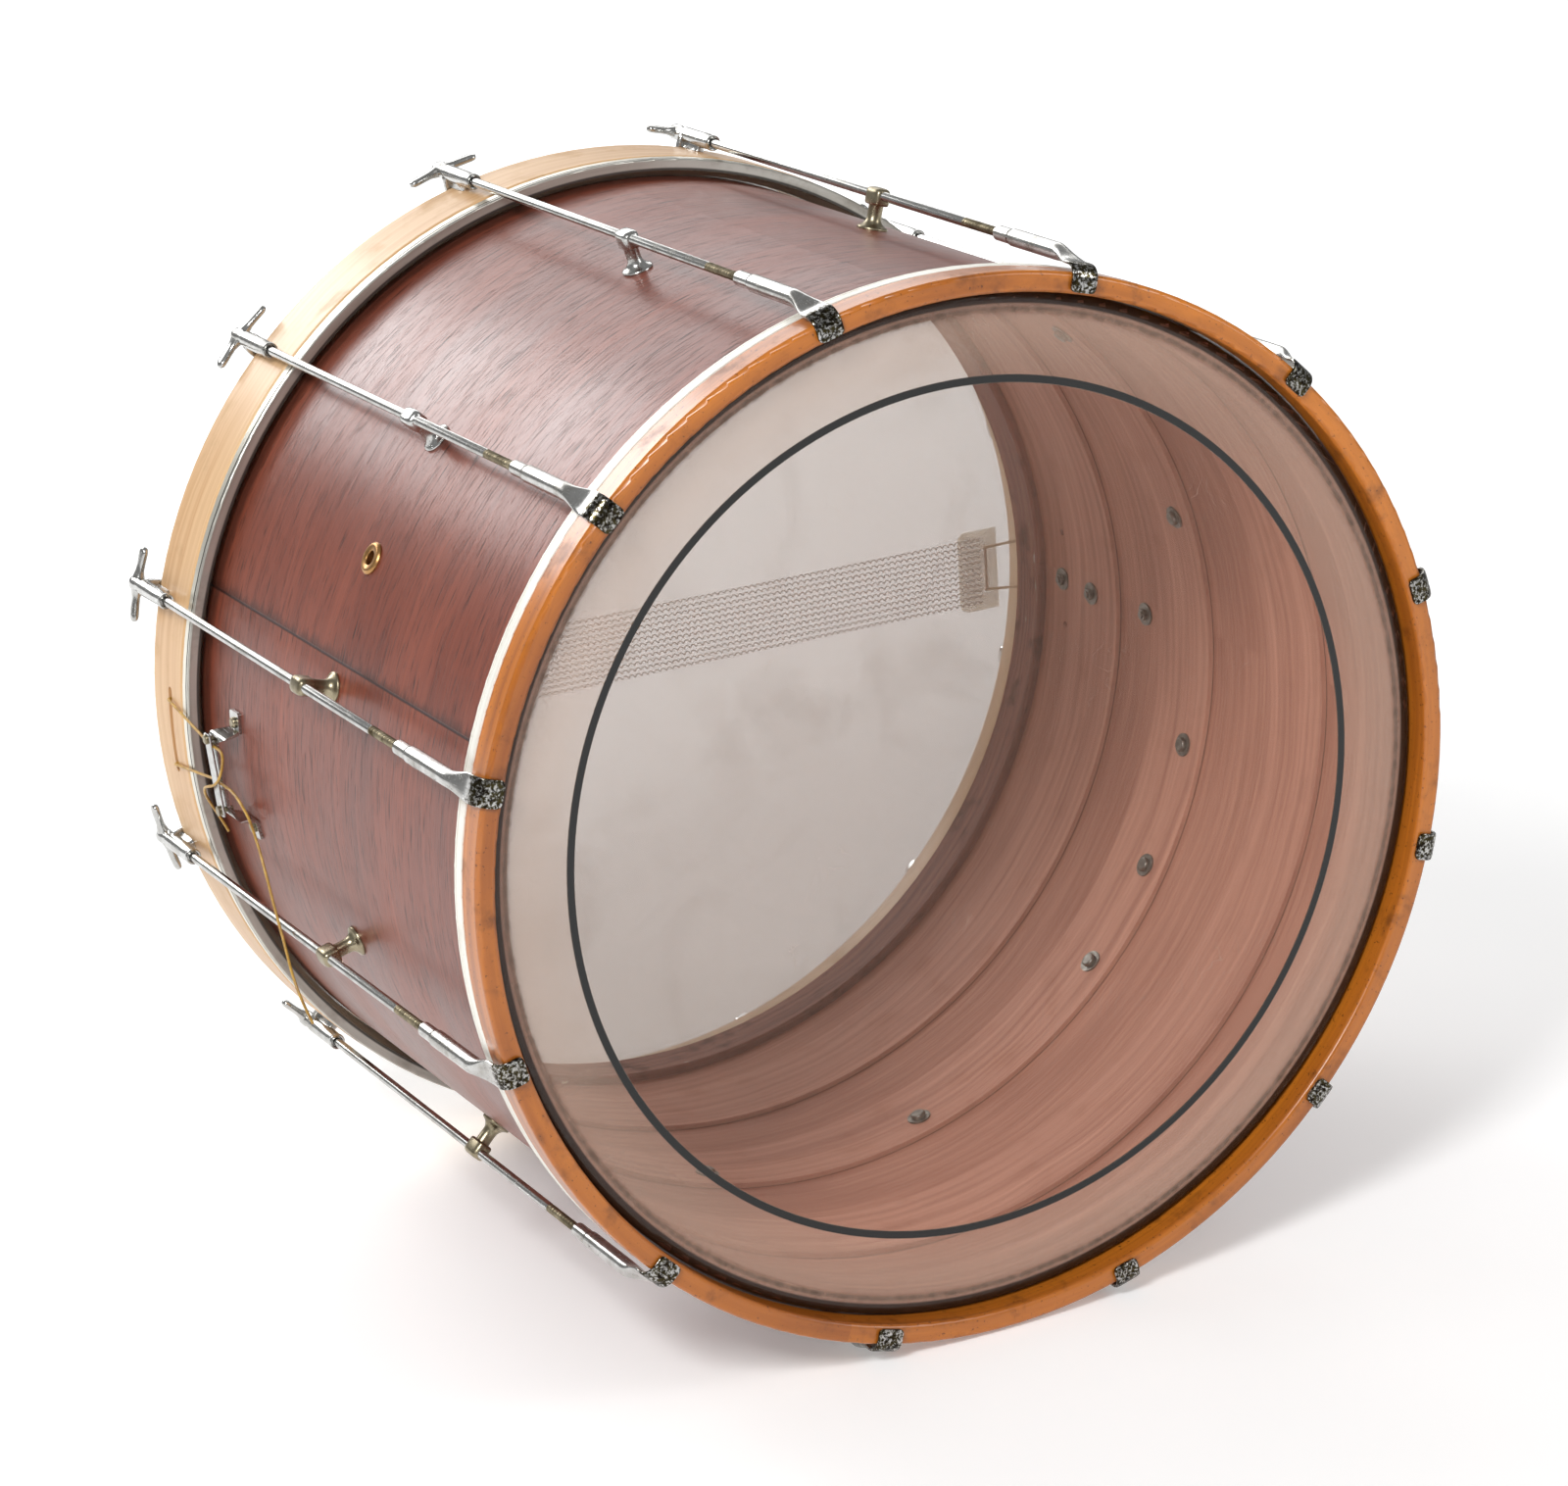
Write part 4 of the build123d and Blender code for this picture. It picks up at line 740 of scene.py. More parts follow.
def cream_finish():
    """Pale painted channel rings with dirt specks, yellowed patches, and painted shade with a brownish painted
    reflection on their inner part.
    """
    material, nodes, shader = new_finish("cream_channel", Roughness=0.38, Metallic=0.15)
    drum = place_effect(nodes, effects()["drum"], Joint_Angle=0.0, Radius=HOOP_RADIUS)
    dirt = place_effect(nodes, effects()["specks"], Vector=drum["Unrolled"], Scale=0.8, Amount=0.35)
    streak = nodes.noise(nodes.stretched(drum["Unrolled"], (6, 500, 60)), 1.0, 3.0)
    colour = nodes.mix(nodes.range(streak, 0.35, 0.7, 0.0, 0.4), rgb(paint(240, 238, 230)), rgb(paint(206, 200, 186)))
    # painted shade and a painted reflection of the shell on the ring's inner part
    inner = nodes.range(drum["Out"], 314 * MM, 313 * MM)
    colour = nodes.mix(nodes.math("MULTIPLY", inner, 0.85), colour, rgb(paint(126, 112, 98)))
    colour = nodes.mix(nodes.math("MULTIPLY", dirt["Specks"], 0.8), colour, rgb(paint(80, 62, 46)))
    colour = nodes.mix(nodes.math("MULTIPLY", dirt["Smears"], 0.3), colour, rgb(paint(168, 150, 126)))
    feed(nodes, shader, Base_Color=colour)
    bump(nodes, shader, streak, 0.0001, 0.3)
    return material


def grey_channel_finish():
    """Dull aluminium channel with dark lines round it and painted shade on its inner edge."""
    material, nodes, shader = new_finish("grey_channel", Metallic=0.75)
    drum = place_effect(nodes, effects()["drum"], Joint_Angle=0.0, Radius=HOOP_RADIUS)
    dirt = place_effect(nodes, effects()["specks"], Vector=drum["Unrolled"], Scale=0.8, Amount=0.4)
    streak = nodes.noise(nodes.stretched(drum["Unrolled"], (5, 900, 90)), 1.0, 3.0)
    colour = nodes.mix(nodes.range(streak, 0.35, 0.7), rgb(paint(216, 214, 206)), rgb(paint(168, 164, 154)))
    colour = nodes.mix(nodes.math("MULTIPLY", dirt["Smears"], 0.4), colour, rgb(paint(120, 108, 92)))
    colour = nodes.mix(nodes.math("MULTIPLY", dirt["Specks"], 0.8), colour, rgb(paint(60, 50, 40)))
    # painted shade: the inner edge is darkened nearly to black
    inner = nodes.range(drum["Out"], 312.0 * MM, 311.2 * MM)
    colour = nodes.mix(nodes.math("MULTIPLY", inner, 0.85), colour, rgb(paint(40, 34, 30)))
    rim = nodes.range(drum["Behind"], 441.0 * MM, 441.4 * MM)
    line = place_effect(
        nodes, effects()["band"], Distance=drum["Behind"], Middle=440.7 * MM, Half_Width=0.45 * MM, Edge=0.2 * MM
    )["Mask"]
    colour = nodes.mix(nodes.math("MULTIPLY", rim, 0.8), colour, rgb(paint(226, 222, 208)))
    colour = nodes.mix(nodes.math("MULTIPLY", line, 0.8), colour, rgb(paint(60, 54, 48)))
    feed(nodes, shader, Base_Color=colour, Roughness=nodes.range(dirt["Smears"], 0, 1, 0.28, 0.48))
    bump(nodes, shader, streak, 0.0001, 0.4)
    return material


def plain_finish(name, first, second, rough, scale, metallic=0.0, depth=0.0001, **constants):
    """A mottled finish of two shades for small pieces."""

    def make():
        material, nodes, shader = new_finish(name, Metallic=metallic, **constants)
        place = nodes.add("ShaderNodeTexCoord").outputs["Object"]
        mottle = nodes.noise(place, scale, 5.0, 0.65)
        fine = nodes.noise(place, scale * 9, 3.0, 0.6)
        share = nodes.math("ADD", nodes.math("MULTIPLY", mottle, 0.7), nodes.math("MULTIPLY", fine, 0.3))
        colour = nodes.mix(nodes.range(share, 0.36, 0.64), rgb(first), rgb(second))
        feed(nodes, shader, Base_Color=colour, Roughness=nodes.range(share, 0.3, 0.7, rough - 0.08, rough + 0.12))
        bump(nodes, shader, share, depth, 0.6)
        return material

    return make


def gut_finish():
    """Twisted yellow gut, its twist following the cord."""
    material, nodes, shader = new_finish("yellow_gut", Roughness=0.45, Coat_Weight=0.15)
    place = nodes.add("ShaderNodeTexCoord").outputs["Object"]
    twist = nodes.add("ShaderNodeTexWave", Vector=place, Scale=420.0, Distortion=3.0, Detail=2.0).outputs["Fac"]
    mottle = nodes.noise(place, 160.0, 4.0, 0.6)
    colour = nodes.mix(nodes.range(mottle, 0.35, 0.7), rgb(colours().gut), rgb(paint(150, 108, 40)))
    colour = nodes.mix(nodes.math("MULTIPLY", twist, 0.25), colour, rgb(paint(120, 84, 30)))
    feed(nodes, shader, Base_Color=colour)
    bump(nodes, shader, twist, 0.0002, 0.5)
    return material


def snare_plate_finish():
    """Thin yellowed plastic that lets light through."""
    material, nodes, shader = new_finish("yellowed_plastic", Roughness=0.4)
    place = nodes.add("ShaderNodeTexCoord").outputs["Object"]
    mottle = nodes.noise(place, 70.0, 4.0, 0.6)
    colour = nodes.mix(nodes.range(mottle, 0.35, 0.7), rgb(paint(240, 224, 168)), rgb(paint(224, 202, 136)))
    feed(nodes, shader, Base_Color=colour, Alpha=nodes.range(mottle, 0.3, 0.7, 0.34, 0.46))
    return material


FINISH_MAKERS = {
    "shell": shell_finish,
    "inner_ring": ring_finish("bare_maple", "inside_light", "inside_dark", 0.297, 0.6, 0.8, 0.5, 0.1),
    "rear_ring": ring_finish(
        "stained_ring", "inside_dark", "shell_dark", 0.293, 0.6, 1.2, 0.8, 0.7, 0.6, paper=True
    ),
    "front_hoop": ring_finish(
        "amber_hoop", "front_hoop", "front_hoop_dark", HOOP_RADIUS, 0.32, 0.35, 0.5, 0.55, 0.62, coat=0.3
    ),
    "rear_hoop": ring_finish(
        "maple_hoop", "rear_hoop", "rear_hoop_dark", HOOP_RADIUS, 0.42, 0.7, 0.4, 0.12, 0.2, coat=0.15
    ),
    "front_film": front_film_finish,
    "rear_film": rear_film_finish,
    "cream": cream_finish,
    "grey_channel": grey_channel_finish,
    "chrome": plate_finish("worn_chrome", "chrome", 0.34, 0.15, paint(132, 128, 118), 0.6),
    "pitted_chrome": plate_finish(
        "pitted_chrome", "chrome", 0.42, 0.16, paint(126, 120, 108), 0.75, 1.3, 14 * MM
    ),
    "nickel": plate_finish("old_nickel", "nickel", 0.40, 0.26, paint(96, 84, 60), 0.8),
    "brass": plate_finish("worn_brass", "brass", 0.35, 0.28, paint(112, 78, 36), 0.7),
    "thread": plate_finish("old_thread", "nickel", 0.45, 0.38, paint(70, 58, 34), 1.0),
    "steel": plain_finish("dull_steel", paint(150, 148, 142), paint(96, 92, 84), 0.38, 180.0, 1.0),
    "snare_wire": plain_finish("snare_wire", paint(118, 112, 102), paint(66, 60, 52), 0.4, 140.0, 1.0),
    "gut": gut_finish,
    "snare_plate": snare_plate_finish,
    # near-black painted shade for the inside of a bore
    "shaded_bore": plain_finish("dark_bore", paint(22, 16, 12), paint(10, 8, 6), 0.8, 90.0),
}


def dress(node, finish_name):
    """Gives a CAD node a better finish in its own material slots."""
    obj = frame["nodes"][node]
    for slot in obj.material_slots:
        slot.material = finish(finish_name)


# ================================================================== repeated wire turns
def helix_tree():
    """Geometry nodes: wire wound on a cylinder about Z, with copies side by side along X."""
    tree = bpy.data.node_groups.new("Wound wire", "GeometryNodeTree")
    tree.is_modifier = True
    sockets = {}
    for name, kind, default in (
        ("Geometry", "NodeSocketGeometry", None),
        ("Length", "NodeSocketFloat", 0.04),
        ("Pitch", "NodeSocketFloat", 0.001),
        ("Radius", "NodeSocketFloat", 0.0025),
        ("Wire Radius", "NodeSocketFloat", 0.0004),
        ("Steps per Turn", "NodeSocketInt", 12),
        ("Wire Sides", "NodeSocketInt", 4),
        ("Copies", "NodeSocketInt", 1),
        ("Spacing", "NodeSocketFloat", 0.004),
        ("Material", "NodeSocketMaterial", None),
    ):
        made = tree.interface.new_socket(name, in_out="INPUT", socket_type=kind)
        if default is not None:
            made.default_value = default
        sockets[name] = made.identifier
    tree.interface.new_socket("Geometry", in_out="OUTPUT", socket_type="NodeSocketGeometry")
    nodes = Nodes(tree)
    entry = tree.nodes.new("NodeGroupInput").outputs
    spiral = nodes.add(
        "GeometryNodeCurveSpiral",
        Resolution=entry["Steps per Turn"],
        Rotations=nodes.math("DIVIDE", entry["Length"], entry["Pitch"]),
        Start_Radius=entry["Radius"],
        End_Radius=entry["Radius"],
        Height=entry["Length"],
    )
    wire = nodes.add(
        "GeometryNodeCurvePrimitiveCircle", Resolution=entry["Wire Sides"], Radius=entry["Wire Radius"]
    )
    wound = nodes.add("GeometryNodeCurveToMesh", _0=spiral.outputs[0], _1=wire.outputs[0])
    offset = nodes.add("ShaderNodeCombineXYZ", _0=entry["Spacing"])
    row = nodes.add("GeometryNodeMeshLine", Count=entry["Copies"], Offset=offset.outputs[0])
    placed = nodes.add("GeometryNodeInstanceOnPoints", _0=row.outputs[0], Instance=wound.outputs[0])
    real = nodes.add("GeometryNodeRealizeInstances", _0=placed.outputs[0])
    coated = nodes.add("GeometryNodeSetMaterial", _0=real.outputs[0], Material=entry["Material"])
    leave = tree.nodes.new("NodeGroupOutput")
    tree.links.new(coated.outputs[0], leave.inputs[0])
    return tree, sockets


WINDING = {}


def wound_mesh(place, **inputs):
    """Plain mesh of wire wound about the place's Z, from the geometry nodes."""
    if not WINDING:
        WINDING["tree"], WINDING["sockets"] = helix_tree()
    carrier = bpy.data.objects.new("winding", bpy.data.meshes.new("winding"))
    bpy.context.scene.collection.objects.link(carrier)
    modifier = carrier.modifiers.new("Wound wire", "NODES")
    modifier.node_group = WINDING["tree"]
    for name, value in inputs.items():
        modifier[WINDING["sockets"][name.replace("_", " ")]] = value
    bpy.context.view_layer.update()
    evaluated = carrier.evaluated_get(bpy.context.evaluated_depsgraph_get())
    mesh = bpy.data.meshes.new_from_object(evaluated)
    bpy.data.objects.remove(carrier)
    mesh.transform(place)
    return mesh


def add_mesh(builder, mesh, material):
    """Adds a plain mesh to a builder with one material index."""
    before = len(builder.faces)
    builder.from_mesh(mesh)
    builder.faces.ensure_lookup_table()
    for face in builder.faces[before:]:
        face.material_index = material
    bpy.data.meshes.remove(mesh)


# =========================================================================== the pieces
ALONG, ROUND, OUT = (1, 0, 0), (0, 1, 0), (0, 0, 1)
# front claw, in millimetres behind the front and out from the drum's axis
CLAW_COLLAR_END, CLAW_TUBE_END, CLAW_TUBE_START, CLAW_FLAT_START = 98.0, 81.0, 33.0, 10.0
CLAW_COLLAR, CLAW_TUBE = 4.5, 5.2
STRAP_HALF_WIDTH, STRAP_HALF = 8.25, 1.2
BEND_CENTRE, BEND_RADIUS = (6.7, 314.3), 8.2
CLAW_TIP, CLAW_TIP_ROUND = 307.3, 3.0
ROD_OUT = ROD_CIRCLE / MM


def claw_sections():
    """The claw's collar and tube, flared into its strap, bent over the hoop to its tip."""
    sections = []
    for length, radius in (
        (CLAW_COLLAR_END, CLAW_COLLAR - 0.8),
        (CLAW_COLLAR_END - 0.5, CLAW_COLLAR),
        (CLAW_TUBE_END + 2.2, CLAW_COLLAR),
        (CLAW_TUBE_END + 1.9, CLAW_COLLAR - 0.5),
        (CLAW_TUBE_END + 0.4, CLAW_COLLAR - 0.5),
        (CLAW_TUBE_END, CLAW_TUBE - 0.7),
        (CLAW_TUBE_END - 0.7, CLAW_TUBE),
        (CLAW_TUBE_START + 24, CLAW_TUBE),
        (CLAW_TUBE_START + 4, CLAW_TUBE),
    ):
        sections.append(((length, 0, ROD_OUT), ROUND, OUT, radius, radius, 2.0))
    steps = 16
    strap_out = BEND_CENTRE[1] + BEND_RADIUS
    for step in range(steps + 1):
        share = step / steps
        eased = smoothstep(share)
        length = blend_between(CLAW_TUBE_START, CLAW_FLAT_START, share)
        out = blend_between(ROD_OUT, strap_out, eased)
        width = blend_between(CLAW_TUBE, STRAP_HALF_WIDTH, smoothstep(share * 1.2 - 0.2))
        half = blend_between(CLAW_TUBE, STRAP_HALF, eased)
        sections.append(((length, 0, out), ROUND, OUT, width, half, blend_between(2.0, 5.0, share**3)))
    steps = 12
    for step in range(steps + 1):
        turn = math.radians(90) * step / steps
        centre = (
            BEND_CENTRE[0] - math.sin(turn) * BEND_RADIUS,
            0,
            BEND_CENTRE[1] + math.cos(turn) * BEND_RADIUS,
        )
        top = (-math.sin(turn), 0, math.cos(turn))
        sections.append((centre, ROUND, top, STRAP_HALF_WIDTH, STRAP_HALF, 5.0))
    face = BEND_CENTRE[0] - BEND_RADIUS
    for step in range(7):
        turn = math.radians(90) * step / 6
        out = CLAW_TIP + CLAW_TIP_ROUND * (1 - math.sin(turn))
        width = STRAP_HALF_WIDTH - CLAW_TIP_ROUND * (1 - math.cos(turn))
        thin = STRAP_HALF if step < 6 else STRAP_HALF - 0.35
        sections.append(((face, 0, out), ROUND, (-1, 0, 0), width, thin, 5.0))
    return sections


def build_claws():
    """Twelve chromed claws, each a tube drawn flat and bent over the front hoop."""
    for number, angle in enumerate(ROD_ANGLES, 1):
        builder = bmesh.new()
        add_loft(builder, claw_sections(), 32, on_drum(angle))
        piece = finished(
            f"worn_claw_{number:02d}", builder, [finish("pitted_chrome")], f"claw_{number:02d}", 40
        )
        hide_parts(f"front_claw_{number:02d}")


ROD_START, HANDLE_START, ROD_RADIUS = 46.0, 502.5, 2.85
WING_MIDDLE, WING_REACH, WING_LEAN = 513.9, 24.0, 3.0
WING_ROOT_HALF, WING_NECK_HALF, WING_TIP_HALF = 5.6, 3.6, 4.35
WING_ROOT_THICK, WING_THICK = 4.4, 2.5
HANDLE_TURN = {7: -15.0, 8: 15.0}


def wing_sections():
    """The T-handle's two paddles as one loft across the hub."""
    sections = []
    round_start = WING_REACH - WING_TIP_HALF
    tips = [round_start + WING_TIP_HALF * math.sin(math.radians(90) * step / 7) for step in range(8)]
    half = [0.0, 3.0, 6.0, 9.0, 13.0, 17.0] + tips
    for reach in [-value for value in reversed(half[1:])] + half:
        share = abs(reach) / WING_REACH
        width = blend_between(WING_ROOT_HALF, WING_NECK_HALF, smoothstep(abs(reach) / 9))
        width = blend_between(width, WING_TIP_HALF, smoothstep((abs(reach) - 9) / 9))
        thick = blend_between(WING_ROOT_THICK, WING_THICK, smoothstep(abs(reach) / 10))
        past = max(0.0, (abs(reach) - round_start) / WING_TIP_HALF)
        curve = math.sqrt(max(0.0, 1 - past * past))
        width = max(0.8, width * curve)
        thick = max(0.5, blend_between(thick * curve, thick, 0.35))
        centre = (WING_MIDDLE - WING_LEAN * share * share, reach, 0)
        sections.append((centre, ALONG, OUT, width, thick, 2.4))
    return sections


def build_rods():
    """Twelve tension rods with cut threads and cast T-handles."""
    chosen = sizes()
    thread_start = CLAW_COLLAR_END * MM - chosen.thread_pitch
    for number, angle in enumerate(ROD_ANGLES, 1):
        builder = bmesh.new()
        rod = rod_axis_place(angle)
        thread_end = chosen.thread_end / MM
        add_turned(
            builder,
            [
                (ROD_START, 1.4),
                (ROD_START + 0.8, ROD_RADIUS - 0.5),
                (thread_end, ROD_RADIUS - 0.5),
                (thread_end + 0.8, ROD_RADIUS),
                (HANDLE_START + 1, ROD_RADIUS),
            ],
            rod,
            28,
        )
        for face in builder.faces:
            middle = (rod.inverted() @ face.calc_center_median()).x / MM
            face.material_index = 1 if middle < thread_end else 0
        hub = [(0, 3.7), (0.6, 4.3), (2.4, 4.4), (5, 4.3), (7.2, 4.7), (9.4, 5.2), (11.6, 5.2), (13.8, 5.2)]
        hub += [(15.8, 4.6), (17.4, 3.6), (18.5, 2.2), (19, 0.8)]
        handle = rod @ Matrix.Rotation(math.radians(HANDLE_TURN.get(number, 0.0)), 4, "X")
        add_turned(builder, [(HANDLE_START + length, radius) for length, radius in hub], handle, 28)
        add_loft(builder, wing_sections(), 28, handle)
        thread_place = rod @ Matrix.Translation((thread_start, 0, 0)) @ Matrix.Rotation(math.pi / 2, 4, "Y")
        thread = wound_mesh(
            thread_place,
            Length=chosen.thread_end - thread_start,
            Pitch=chosen.thread_pitch,
            Radius=(ROD_RADIUS - 0.42) * MM,
            Wire_Radius=0.42 * MM,
            Steps_per_Turn=16,
            Wire_Sides=4,
            Copies=1,
            Material=finish("thread"),
        )
        add_mesh(builder, thread, 1)
        piece = finished(
            f"turned_rod_{number:02d}", builder, [finish("chrome"), finish("thread")], f"rod_{number:02d}", 35
        )
        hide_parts(f"tension_rod_{number:02d}")


SLEEVE_START, SLEEVE_RING, HOOK_FACE, HOOK_REAR = 462.2, 3.0, 497.2, 502.2
HOOP_OUT = HOOP_RADIUS / MM


def build_rear_claws():
    """Twelve cast rear claws: a sleeve on a web, with a plate hooked over the rear hoop."""
    builder = bmesh.new()
    for angle in ROD_ANGLES:
        sleeve = [
            (SLEEVE_START + 1.5, 3.1),
            (SLEEVE_START + 0.2, 3.6),
            (SLEEVE_START, 4.6),
            (SLEEVE_START + 0.6, 5.1),
            (SLEEVE_START + SLEEVE_RING - 0.6, 5.2),
            (SLEEVE_START + SLEEVE_RING, 4.95),
            (SLEEVE_START + SLEEVE_RING + 1, 4.85),
            (SLEEVE_START + 12, 5.1),
            (HOOK_FACE - 6, 5.2),
            (HOOK_REAR - 0.8, 5.2),
            (HOOK_REAR, 4.5),
            (HOOK_REAR, 3.2),
        ]
        add_turned(builder, sleeve, rod_axis_place(angle), 28)
        web_middle = HOOK_REAR - 12.0
        web = []
        for out, half_length, half_width in (
            (HOOP_OUT + 0.2, 12.0, 4.0),
            (HOOP_OUT + 1.6, 11.9, 3.4),
            (HOOP_OUT + 4.0, 11.6, 3.3),
            (HOOP_OUT + 6.5, 11.6, 3.9),
        ):
            web.append(((web_middle - (11.9 - half_length), 0, out), ALONG, ROUND, half_length, half_width, 4.0))
        add_loft(builder, web, 28, on_drum(angle))
        hook = []
        plate_middle = (HOOK_FACE + HOOK_REAR) / 2
        for out, half_width, half_plate in (
            (CLAW_TIP, 3.6, 1.9),
            (CLAW_TIP + 0.4, 5.0, 2.3),
            (CLAW_TIP + 1.6, 6.2, 2.5),
            (CLAW_TIP + 3.4, 6.5, 2.5),
            (320.0, 6.5, 2.5),
            (324.0, 6.1, 2.5),
            (326.4, 5.0, 2.4),
            (327.0, 4.0, 2.0),
        ):
            hook.append(((plate_middle, 0, out), ROUND, ALONG, half_width, half_plate, 5.0))
        add_loft(builder, hook, 28, on_drum(angle))
    piece = finished("cast_rear_claws", builder, [finish("chrome")], "root", 40)
    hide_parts("rear_claws")


POST_BEHIND, POST_TOP, POST_HEAD_FOOT = 243.0, 330.1, 319.5
NICKEL_POSTS = (0, 3, 4, 5)
SHELL_OUT = SHELL_RADIUS / MM


def build_posts():
    """Twelve rod posts: a turned foot with a cast head that the rod runs through."""
    builder = bmesh.new()
    upright = Matrix.Rotation(-math.pi / 2, 4, "Y")
    for index, angle in enumerate(ROD_ANGLES):
        metal = 1 if index in NICKEL_POSTS else 0
        foot_place = on_drum(angle) @ Matrix.Translation((POST_BEHIND * MM, 0, 0)) @ upright
        foot = [(-0.1, 9.3), (0.9, 9.5), (1.5, 9.1), (2.0, 8.0), (2.9, 6.6), (4.2, 5.4), (6.1, 4.55), (9.0, 4.4)]
        foot += [(POST_HEAD_FOOT - SHELL_OUT - 0.6, 4.5), (POST_HEAD_FOOT - SHELL_OUT + 1, 4.9)]
        add_turned(builder, [(SHELL_OUT + height, radius) for height, radius in foot], foot_place, 40, metal)
        head = []
        for out, inset in (
            (POST_HEAD_FOOT, 1.0),
            (POST_HEAD_FOOT + 0.5, 0.25),
            (POST_HEAD_FOOT + 1.4, 0.0),
            (POST_TOP - 3.2, 0.0),
            (POST_TOP - 2.0, 0.22),
            (POST_TOP - 1.1, 0.75),
            (POST_TOP - 0.4, 1.6),
            (POST_TOP, 2.8),
        ):
            head.append(((POST_BEHIND, 0, out), ALONG, ROUND, 8.25 - inset, 5.5 - inset, 3.6))
        add_loft(builder, head, 36, on_drum(angle), metal)
    piece = finished("cast_rod_posts", builder, [finish("chrome"), finish("nickel")], "root", 50)
    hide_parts("rod_posts")


def build_snares():
    """Twelve coiled snare strands behind the rear head."""
    chosen = sizes()
    low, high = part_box("snare_strands")
    radius = 1.3 * MM
    spacing = (high.z - low.z - 2 * radius) / (chosen.strand_count - 1)
    place = Matrix.Translation((low.x, (low.y + high.y) / 2, low.z + radius)) @ Matrix(
        ((0, 0, 1, 0), (0, 1, 0, 0), (1, 0, 0, 0), (0, 0, 0, 1))
    )
    mesh = wound_mesh(
        place,
        Length=high.x - low.x,
        Pitch=chosen.coil_pitch,
        Radius=radius - chosen.coil_wire / 2,
        Wire_Radius=chosen.coil_wire / 2,
        Steps_per_Turn=12,
        Wire_Sides=5,
        Copies=chosen.strand_count,
        Spacing=spacing,
        Material=finish("snare_wire"),
    )
    builder = bmesh.new()
    add_mesh(builder, mesh, 0)
    piece = finished("coiled_snares", builder, [finish("snare_wire")], "root", 80)
    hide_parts("snare_strands")


BUTT_ANGLE = math.radians(181.8)


def butt_point(behind, round_drum, out):
    """World point in the butt clamp's own directions, from millimetres."""
    return on_drum(BUTT_ANGLE) @ Vector((behind * MM, round_drum * MM, out * MM))


def side_point(across, behind, height):
    """World point from millimetres across the drum, behind its front and up from its axis."""
    return Vector((across * MM, along(behind), AXIS_Z + height * MM))


SHORT_TAIL = [
    butt_point(386.75, -18, 317.65),
    butt_point(381.5, -18, 317.65),
    butt_point(375.5, -14.8, 319.2),
    butt_point(373.5, -8.4, 321.8),
    butt_point(376, -2, 323.6),
    butt_point(383, 3, 324.8),
    butt_point(392, 5.6, 325.2),
    butt_point(402, 9.4, 324.6),
    butt_point(411, 17.5, 321.4),
    butt_point(417, 28, 315.6),
    butt_point(421.5, 39, 309.6),
    butt_point(423, 48.5, 305.4),
]
LONG_TAIL = [
    butt_point(386.75, 5, 317.65),
    butt_point(378, 5, 317.65),
    side_point(-319.4, 366, -13.2),
    side_point(-321.2, 351, -13.6),
    side_point(-322.2, 330, -22.0),
    side_point(-322.9, 314, -43.0),
    side_point(-323.0, 302.5, -67.0),
    side_point(-322.8, 291.5, -88.0),
    side_point(-322.4, 284.0, -107.0),
    side_point(-321.8, 273.0, -121.5),
    side_point(-321.2, 260.0, -131.0),
]
CORD_RADIUS = 0.9 * MM


def build_tail(name, node, points):
    """One free cord end as a smooth round curve."""
    curve = bpy.data.curves.new(name, "CURVE")
    curve.dimensions = "3D"
    curve.bevel_depth = CORD_RADIUS
    curve.bevel_resolution = 3
    curve.use_fill_caps = True
    curve.resolution_u = 10
    spline = curve.splines.new("NURBS")
    spline.points.add(len(points) - 1)
    for knot, point in zip(spline.points, points):
        knot.co = (*point, 1)
    spline.order_u = 3
    spline.use_endpoint_u = True
    curve.materials.append(finish("gut"))
    piece = bpy.data.objects.new(name, curve)
    bpy.context.scene.collection.objects.link(piece)
    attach(piece, "root")
    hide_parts(node)


# ============================================================================ operators
class DRUM_OT_woods(bpy.types.Operator):
    """Finishes the shell, its inner rings and both hoops"""

    bl_idname = "drum.woods"
    bl_label = "Woods"
    bl_options = {"REGISTER", "UNDO"}

    def execute(self, context):
        dress("shell", "shell")
        for node in ("front_glue_ring", "middle_ring_1", "middle_ring_2", "middle_ring_3"):
            dress(node, "inner_ring")
        dress("rear_glue_ring", "rear_ring")
        dress("front_hoop", "front_hoop")
        dress("rear_hoop", "rear_hoop")
        return {"FINISHED"}


class DRUM_OT_heads(bpy.types.Operator):
    """Finishes both films and the channel rings that hold them"""

    bl_idname = "drum.heads"
    bl_label = "Heads"
    bl_options = {"REGISTER", "UNDO"}

    def execute(self, context):
        dress("front_head_film", "front_film")
        dress("rear_head_film", "rear_film")
        dress("front_flesh_hoop", "cream")
        dress("rear_flesh_hoop", "grey_channel")
        return {"FINISHED"}


class DRUM_OT_claws(bpy.types.Operator):
    """Makes the twelve front claws and the twelve rear claws"""

    bl_idname = "drum.claws"
    bl_label = "Claws"
    bl_options = {"REGISTER", "UNDO"}

    def execute(self, context):
        build_claws()
        build_rear_claws()
        return {"FINISHED"}


class DRUM_OT_rods(bpy.types.Operator):
    """Makes the twelve tension rods with their threads and T-handles"""

    bl_idname = "drum.rods"
    bl_label = "Tension Rods"
    bl_options = {"REGISTER", "UNDO"}

    def execute(self, context):
        build_rods()
        return {"FINISHED"}


class DRUM_OT_posts(bpy.types.Operator):
    """Makes the rod posts and finishes the vent and the inner screws"""

    bl_idname = "drum.posts"
    bl_label = "Posts and Vent"
    bl_options = {"REGISTER", "UNDO"}

    def execute(self, context):
        build_posts()
        dress("vent_grommet", "brass")
        dress("post_screws", "steel")
        dress("shell_washers", "steel")
        return {"FINISHED"}


